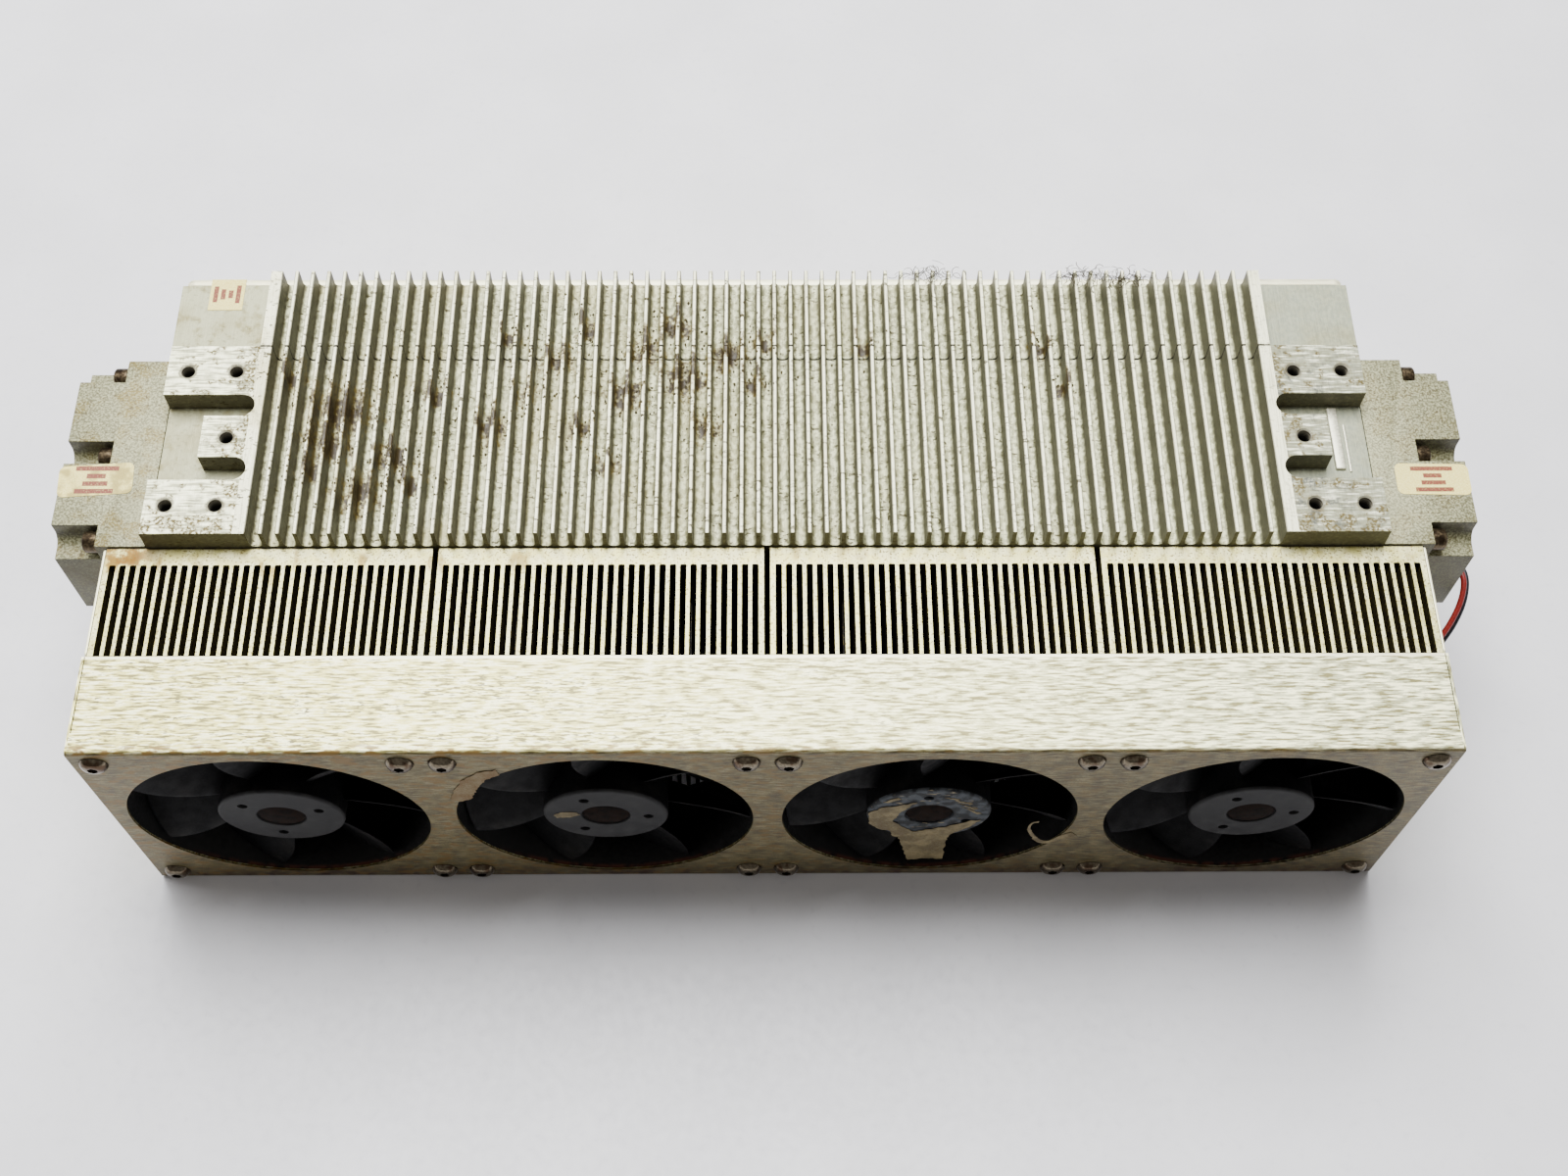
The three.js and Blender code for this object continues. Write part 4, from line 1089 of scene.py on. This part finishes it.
def add_wrapped_label(material):
    """The third label lies across the rear edge: part on the slab, part down the rear cover."""
    back, top = span("rear_cover_plate")[1][1], SLAB_FLOOR
    start, left, right, corner = 186.2, -216.0, -202.8, 0.7
    drop = LABEL["length"] - (back - start)

    def layer(gap):
        bend = arc((back - corner + gap, top - corner + gap), corner, 90, 0, 6)
        return [(start, top + gap), *bend, (back + gap, top - drop)]

    outline = layer(LABEL["gap"] + LABEL["thickness"]) + layer(LABEL["gap"])[::-1]
    add_piece("seal_label_rear", prism(outline, "x", left, right), material)


def ragged(outline, rng, step=1.3, wander=0.45):
    """An outline with extra points along its sides, each pushed a little off the line."""
    result = []
    for (x0, z0), (x1, z1) in zip(outline, outline[1:] + outline[:1]):
        length = math.hypot(x1 - x0, z1 - z0)
        count = max(1, round(length / step))
        for i in range(count):
            t = i / count
            push = rng.uniform(-wander, wander) if i else 0.0
            result.append((x0 + (x1 - x0) * t - (z1 - z0) / length * push,
                           z0 + (z1 - z0) * t + (x1 - x0) / length * push))
    return result


def ribbon(stations):
    """The outline of a strip along (x, z, width) stations."""
    line = smooth_route([(x, width, z) for x, z, width in stations], steps=4)
    near, far = [], []
    for before, point, after in zip([line[0]] + line[:-1], line, line[1:] + [line[-1]]):
        across = Vector((before.z - after.z, after.x - before.x)).normalized() * point.y / 2
        near.append((point.x + across.x, point.z + across.y))
        far.append((point.x - across.x, point.z - across.y))
    return near + far[::-1]


def tape_shape(outline, front, lift, rng, thickness=0.12):
    """Thin torn tape in the X-Z plane; lift gives how far each point stands forward of front."""
    flat = prism(ragged(outline, rng), "y", front - thickness, front)
    bmesh.ops.triangulate(flat, faces=[face for face in flat.faces if len(face.verts) > 4])
    bmesh.ops.subdivide_edges(flat, edges=[e for e in flat.edges if e.calc_length() > 4], cuts=2)
    for vertex in flat.verts:
        vertex.co.y -= lift(vertex.co.x, vertex.co.z)
    return flat


def add_tapes(materials):
    """Torn tape: some stays with the shroud, and what is on a hub turns with its rotor."""
    rng = random.Random(21)
    face, hub = -0.04, ROTOR_FRONT - 0.04
    for name, outlines, front, lift, finish, body in (
        ("tape_fan_2", [TAPE_STRIP], face, lambda x, z: 0.25 * abs(math.sin(x * 0.9)), "aged_tape", "root"),
        ("tape_fan_3_hub", [TAPE_CRESCENT], hub, lambda x, z: 0.2 + 0.12 * math.sin(x) * math.cos(z),
         "tape", "rotor_3"),
        ("tape_fan_3_scraps", TAPE_SCRAPS, hub, lambda x, z: 0.02, "tape", "rotor_3"),
        ("tape_fan_3_curl", [ribbon(TAPE_CURL)], face, lambda x, z: 0.1 + max(0.0, 110 - x) * 0.2,
         "tape", "root"),
        ("tape_fan_2_hub", [TAPE_SMEAR], hub, lambda x, z: 0.02, "tape", "rotor_2"),
    ):
        shapes = [tape_shape(outline, front, lift, rng) for outline in outlines]
        add_piece(name, merged(shapes), materials[finish], body, sharp=60)


def fin_height(x):
    """Height of the slab's surface under x: a fin's top or a groove's floor."""
    nearest = round(x / FIN_PITCH + (FIN_COUNT - 1) / 2)
    centre = (nearest - (FIN_COUNT - 1) / 2) * FIN_PITCH
    return SLAB_TOP if abs(x - centre) < FIN_WIDTH / 2 - 0.1 else SLAB_FLOOR


def add_flakes(materials):
    """Loose crumbs of grime, thickest in the grimy patches, each a small irregular chip."""
    rng = random.Random(5)
    shape = bmesh.new()
    for x0, y0, reach in GRIME_PATCHES:
        for _ in range(reach * FLAKES_PER_MM):
            x, y = rng.gauss(x0, reach * 0.9), rng.gauss(y0, reach * 0.9)
            if abs(x) > FINNED_HALF - 2 or not SLAB[1][0] + 2 < y < REAR_SLAB[1][1] - 2:
                continue
            size, base = rng.uniform(0.2, 0.8), fin_height(x)
            if base == SLAB_TOP:
                size = min(size, 0.6)
            corners = []
            sector = 360 / FLAKE_CORNERS
            start = rng.uniform(0, sector)
            for corner in range(FLAKE_CORNERS):
                angle = math.radians(start + sector * corner + rng.uniform(-18, 18))
                radius = size * rng.uniform(0.6, 1.0)
                place = (x + radius * math.cos(angle), y + 1.5 * radius * math.sin(angle), base)
                corners.append(shape.verts.new(place))
            peak = shape.verts.new((x, y, base + size * 0.35))
            for first, second in zip(corners, corners[1:] + corners[:1]):
                shape.faces.new((first, second, peak))
            shape.faces.new(corners[::-1])
    add_piece("grime_flakes", shape, materials["dust"], sharp=25)


def add_fluff(materials):
    """Tufts of fluff caught on the rear ends of a few fins, as short curled fibres."""
    rng = random.Random(9)
    shape = bmesh.new()
    for x0, y0 in FLUFF_PATCHES:
        for _ in range(FIBRES_PER_PATCH):
            point = Vector((rng.gauss(x0, 6), rng.gauss(y0, 1.8), SLAB_TOP + 0.1))
            heading, bend = rng.uniform(0, 2 * math.pi), rng.uniform(-0.5, 0.5)
            radius, rings = rng.uniform(0.07, 0.15), []
            for step in range(FIBRE_STEPS):
                ahead = Vector((math.cos(heading), math.sin(heading), 0))
                side, ridge = Vector((-ahead.y, ahead.x, 0)) * radius, Vector((0, 0, radius * 1.5))
                centre = point + Vector((0, 0, 0.6 * math.sin(math.pi * step / (FIBRE_STEPS - 1))))
                rings.append([shape.verts.new(centre + offset) for offset in (side, ridge, -side)])
                point = point + ahead * FIBRE_STEP
                heading += bend
            skin(shape, rings)
    bmesh.ops.recalc_face_normals(shape, faces=shape.faces)
    add_piece("rear_fluff", shape, materials["dust"], sharp=60)


# ---- stage
def make_stage(material):
    shape = bmesh.new()
    bmesh.ops.create_grid(shape, x_segments=1, y_segments=1, size=3.0)
    floor = as_object(shape, "floor")
    floor.data.materials.append(material)
    world = bpy.data.worlds.new("studio")
    world.use_nodes = True
    world.node_tree.nodes["Background"].inputs["Color"].default_value = (1.0, 0.96, 0.92, 1.0)
    world.node_tree.nodes["Background"].inputs["Strength"].default_value = 0.32
    bpy.context.scene.world = world
    for name, place, size, power in (
        ("key", (-0.15, 0.86, 2.2), 1.6, 176), ("side", (-1.5, 0.5, 1.0), 0.9, 8),
    ):
        light = bpy.data.lights.new(name, "AREA")
        light.shape = "SQUARE"
        light.size = size
        light.energy = power
        lamp = placed(name, light)
        lamp.location = place
        lamp.rotation_mode = "QUATERNION"
        lamp.rotation_quaternion = (-Vector(place)).to_track_quat("-Z", "Y")


# ---- assembly
make_camera()
wires = {
    "lead_red": rubbed("red_sleeve", ((120, 16, 12), (146, 26, 20)), 0.8, 0.42),
    "lead_black": rubbed("black_sleeve", ((10, 11, 18), (24, 26, 36)), 0.8, 0.42),
}
add_leads(wires)
materials = {
    "sheet": brushed_sheet(),
    "extruded": extruded_metal(),
    "sink": sink_metal(),
    "cast": cast_metal("cast_metal"),
    "housing": cast_metal("housing_metal", (0.25, (92, 92, 90))),
    "milled": rubbed("milled_metal", ((188, 187, 164), (214, 212, 190)), 0.8, 0.38, 0.6),
    "steel": screw_metal("steel", ((88, 80, 66), (116, 107, 90)), (66, 48, 34), 0.13),
    "bronze": screw_metal("bronze", ((66, 56, 42), (98, 85, 64)), (38, 28, 18), 0.3),
    "rusty_disc": screw_metal("rusty_disc", ((24, 15, 10), (38, 24, 16)), (14, 9, 6), 0.8),
    "rotor_plastic": rotor_plastic("rotor_plastic"),
    "worn_rotor_plastic": rotor_plastic("worn_rotor_plastic", worn=True),
    "frame_black": frame_black(),
    "winding": winding(),
    "board": circuit_board(),
    "rubber": rubbed("rubber", ((22, 22, 23), (46, 45, 44)), 0.9, 0.66),
    "terminal": rubbed("terminal", ((36, 104, 66), (52, 128, 84)), 1.1, 0.4),
    "tape": paper_tape("paper_tape", ((92, 80, 50), (128, 115, 80))),
    "aged_tape": paper_tape("aged_tape", ((108, 84, 44), (120, 104, 70))),
    "dust": dust_surface(),
}
KEPT_NODES = {
    "driver_board": "board", "terminal_block": "terminal", "bottom_cover": "sheet",
    "board_rail_front": "housing", "board_rail_rear": "housing",
    "lead_grommet": "rubber", "lead_socket": "rubber",
}
for number in range(1, 5):
    KEPT_NODES[f"fan_stator_{number}"] = "winding"
    KEPT_NODES[f"rotor_shaft_{number}"] = "steel"
for node, finish in KEPT_NODES.items():
    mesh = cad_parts[node].data
    mesh.materials.clear()
    mesh.materials.append(materials[finish])

add_piece("shroud_sheet", softened(shroud_shape(), 0.15, 1, 50), materials["sheet"],
          replaces=["fan_shroud"], sharp=30)
add_fans(materials)
add_sinks(materials)
add_slab(materials)
add_rear_cover(materials)
add_end_caps(materials)
add_housing(materials)
label_z = SLAB_FLOOR + LABEL["gap"]
add_label("seal_label_right", label_paper("label_right", 0), (246, 108.5, label_z), -1)
add_label("seal_label_left", label_paper("label_left", 0, stained=True), (-246.3, 109.2, label_z), 4)
add_wrapped_label(label_paper("label_rear", 1))
add_tapes(materials)
add_flakes(materials)
add_fluff(materials)
make_stage(table_top())
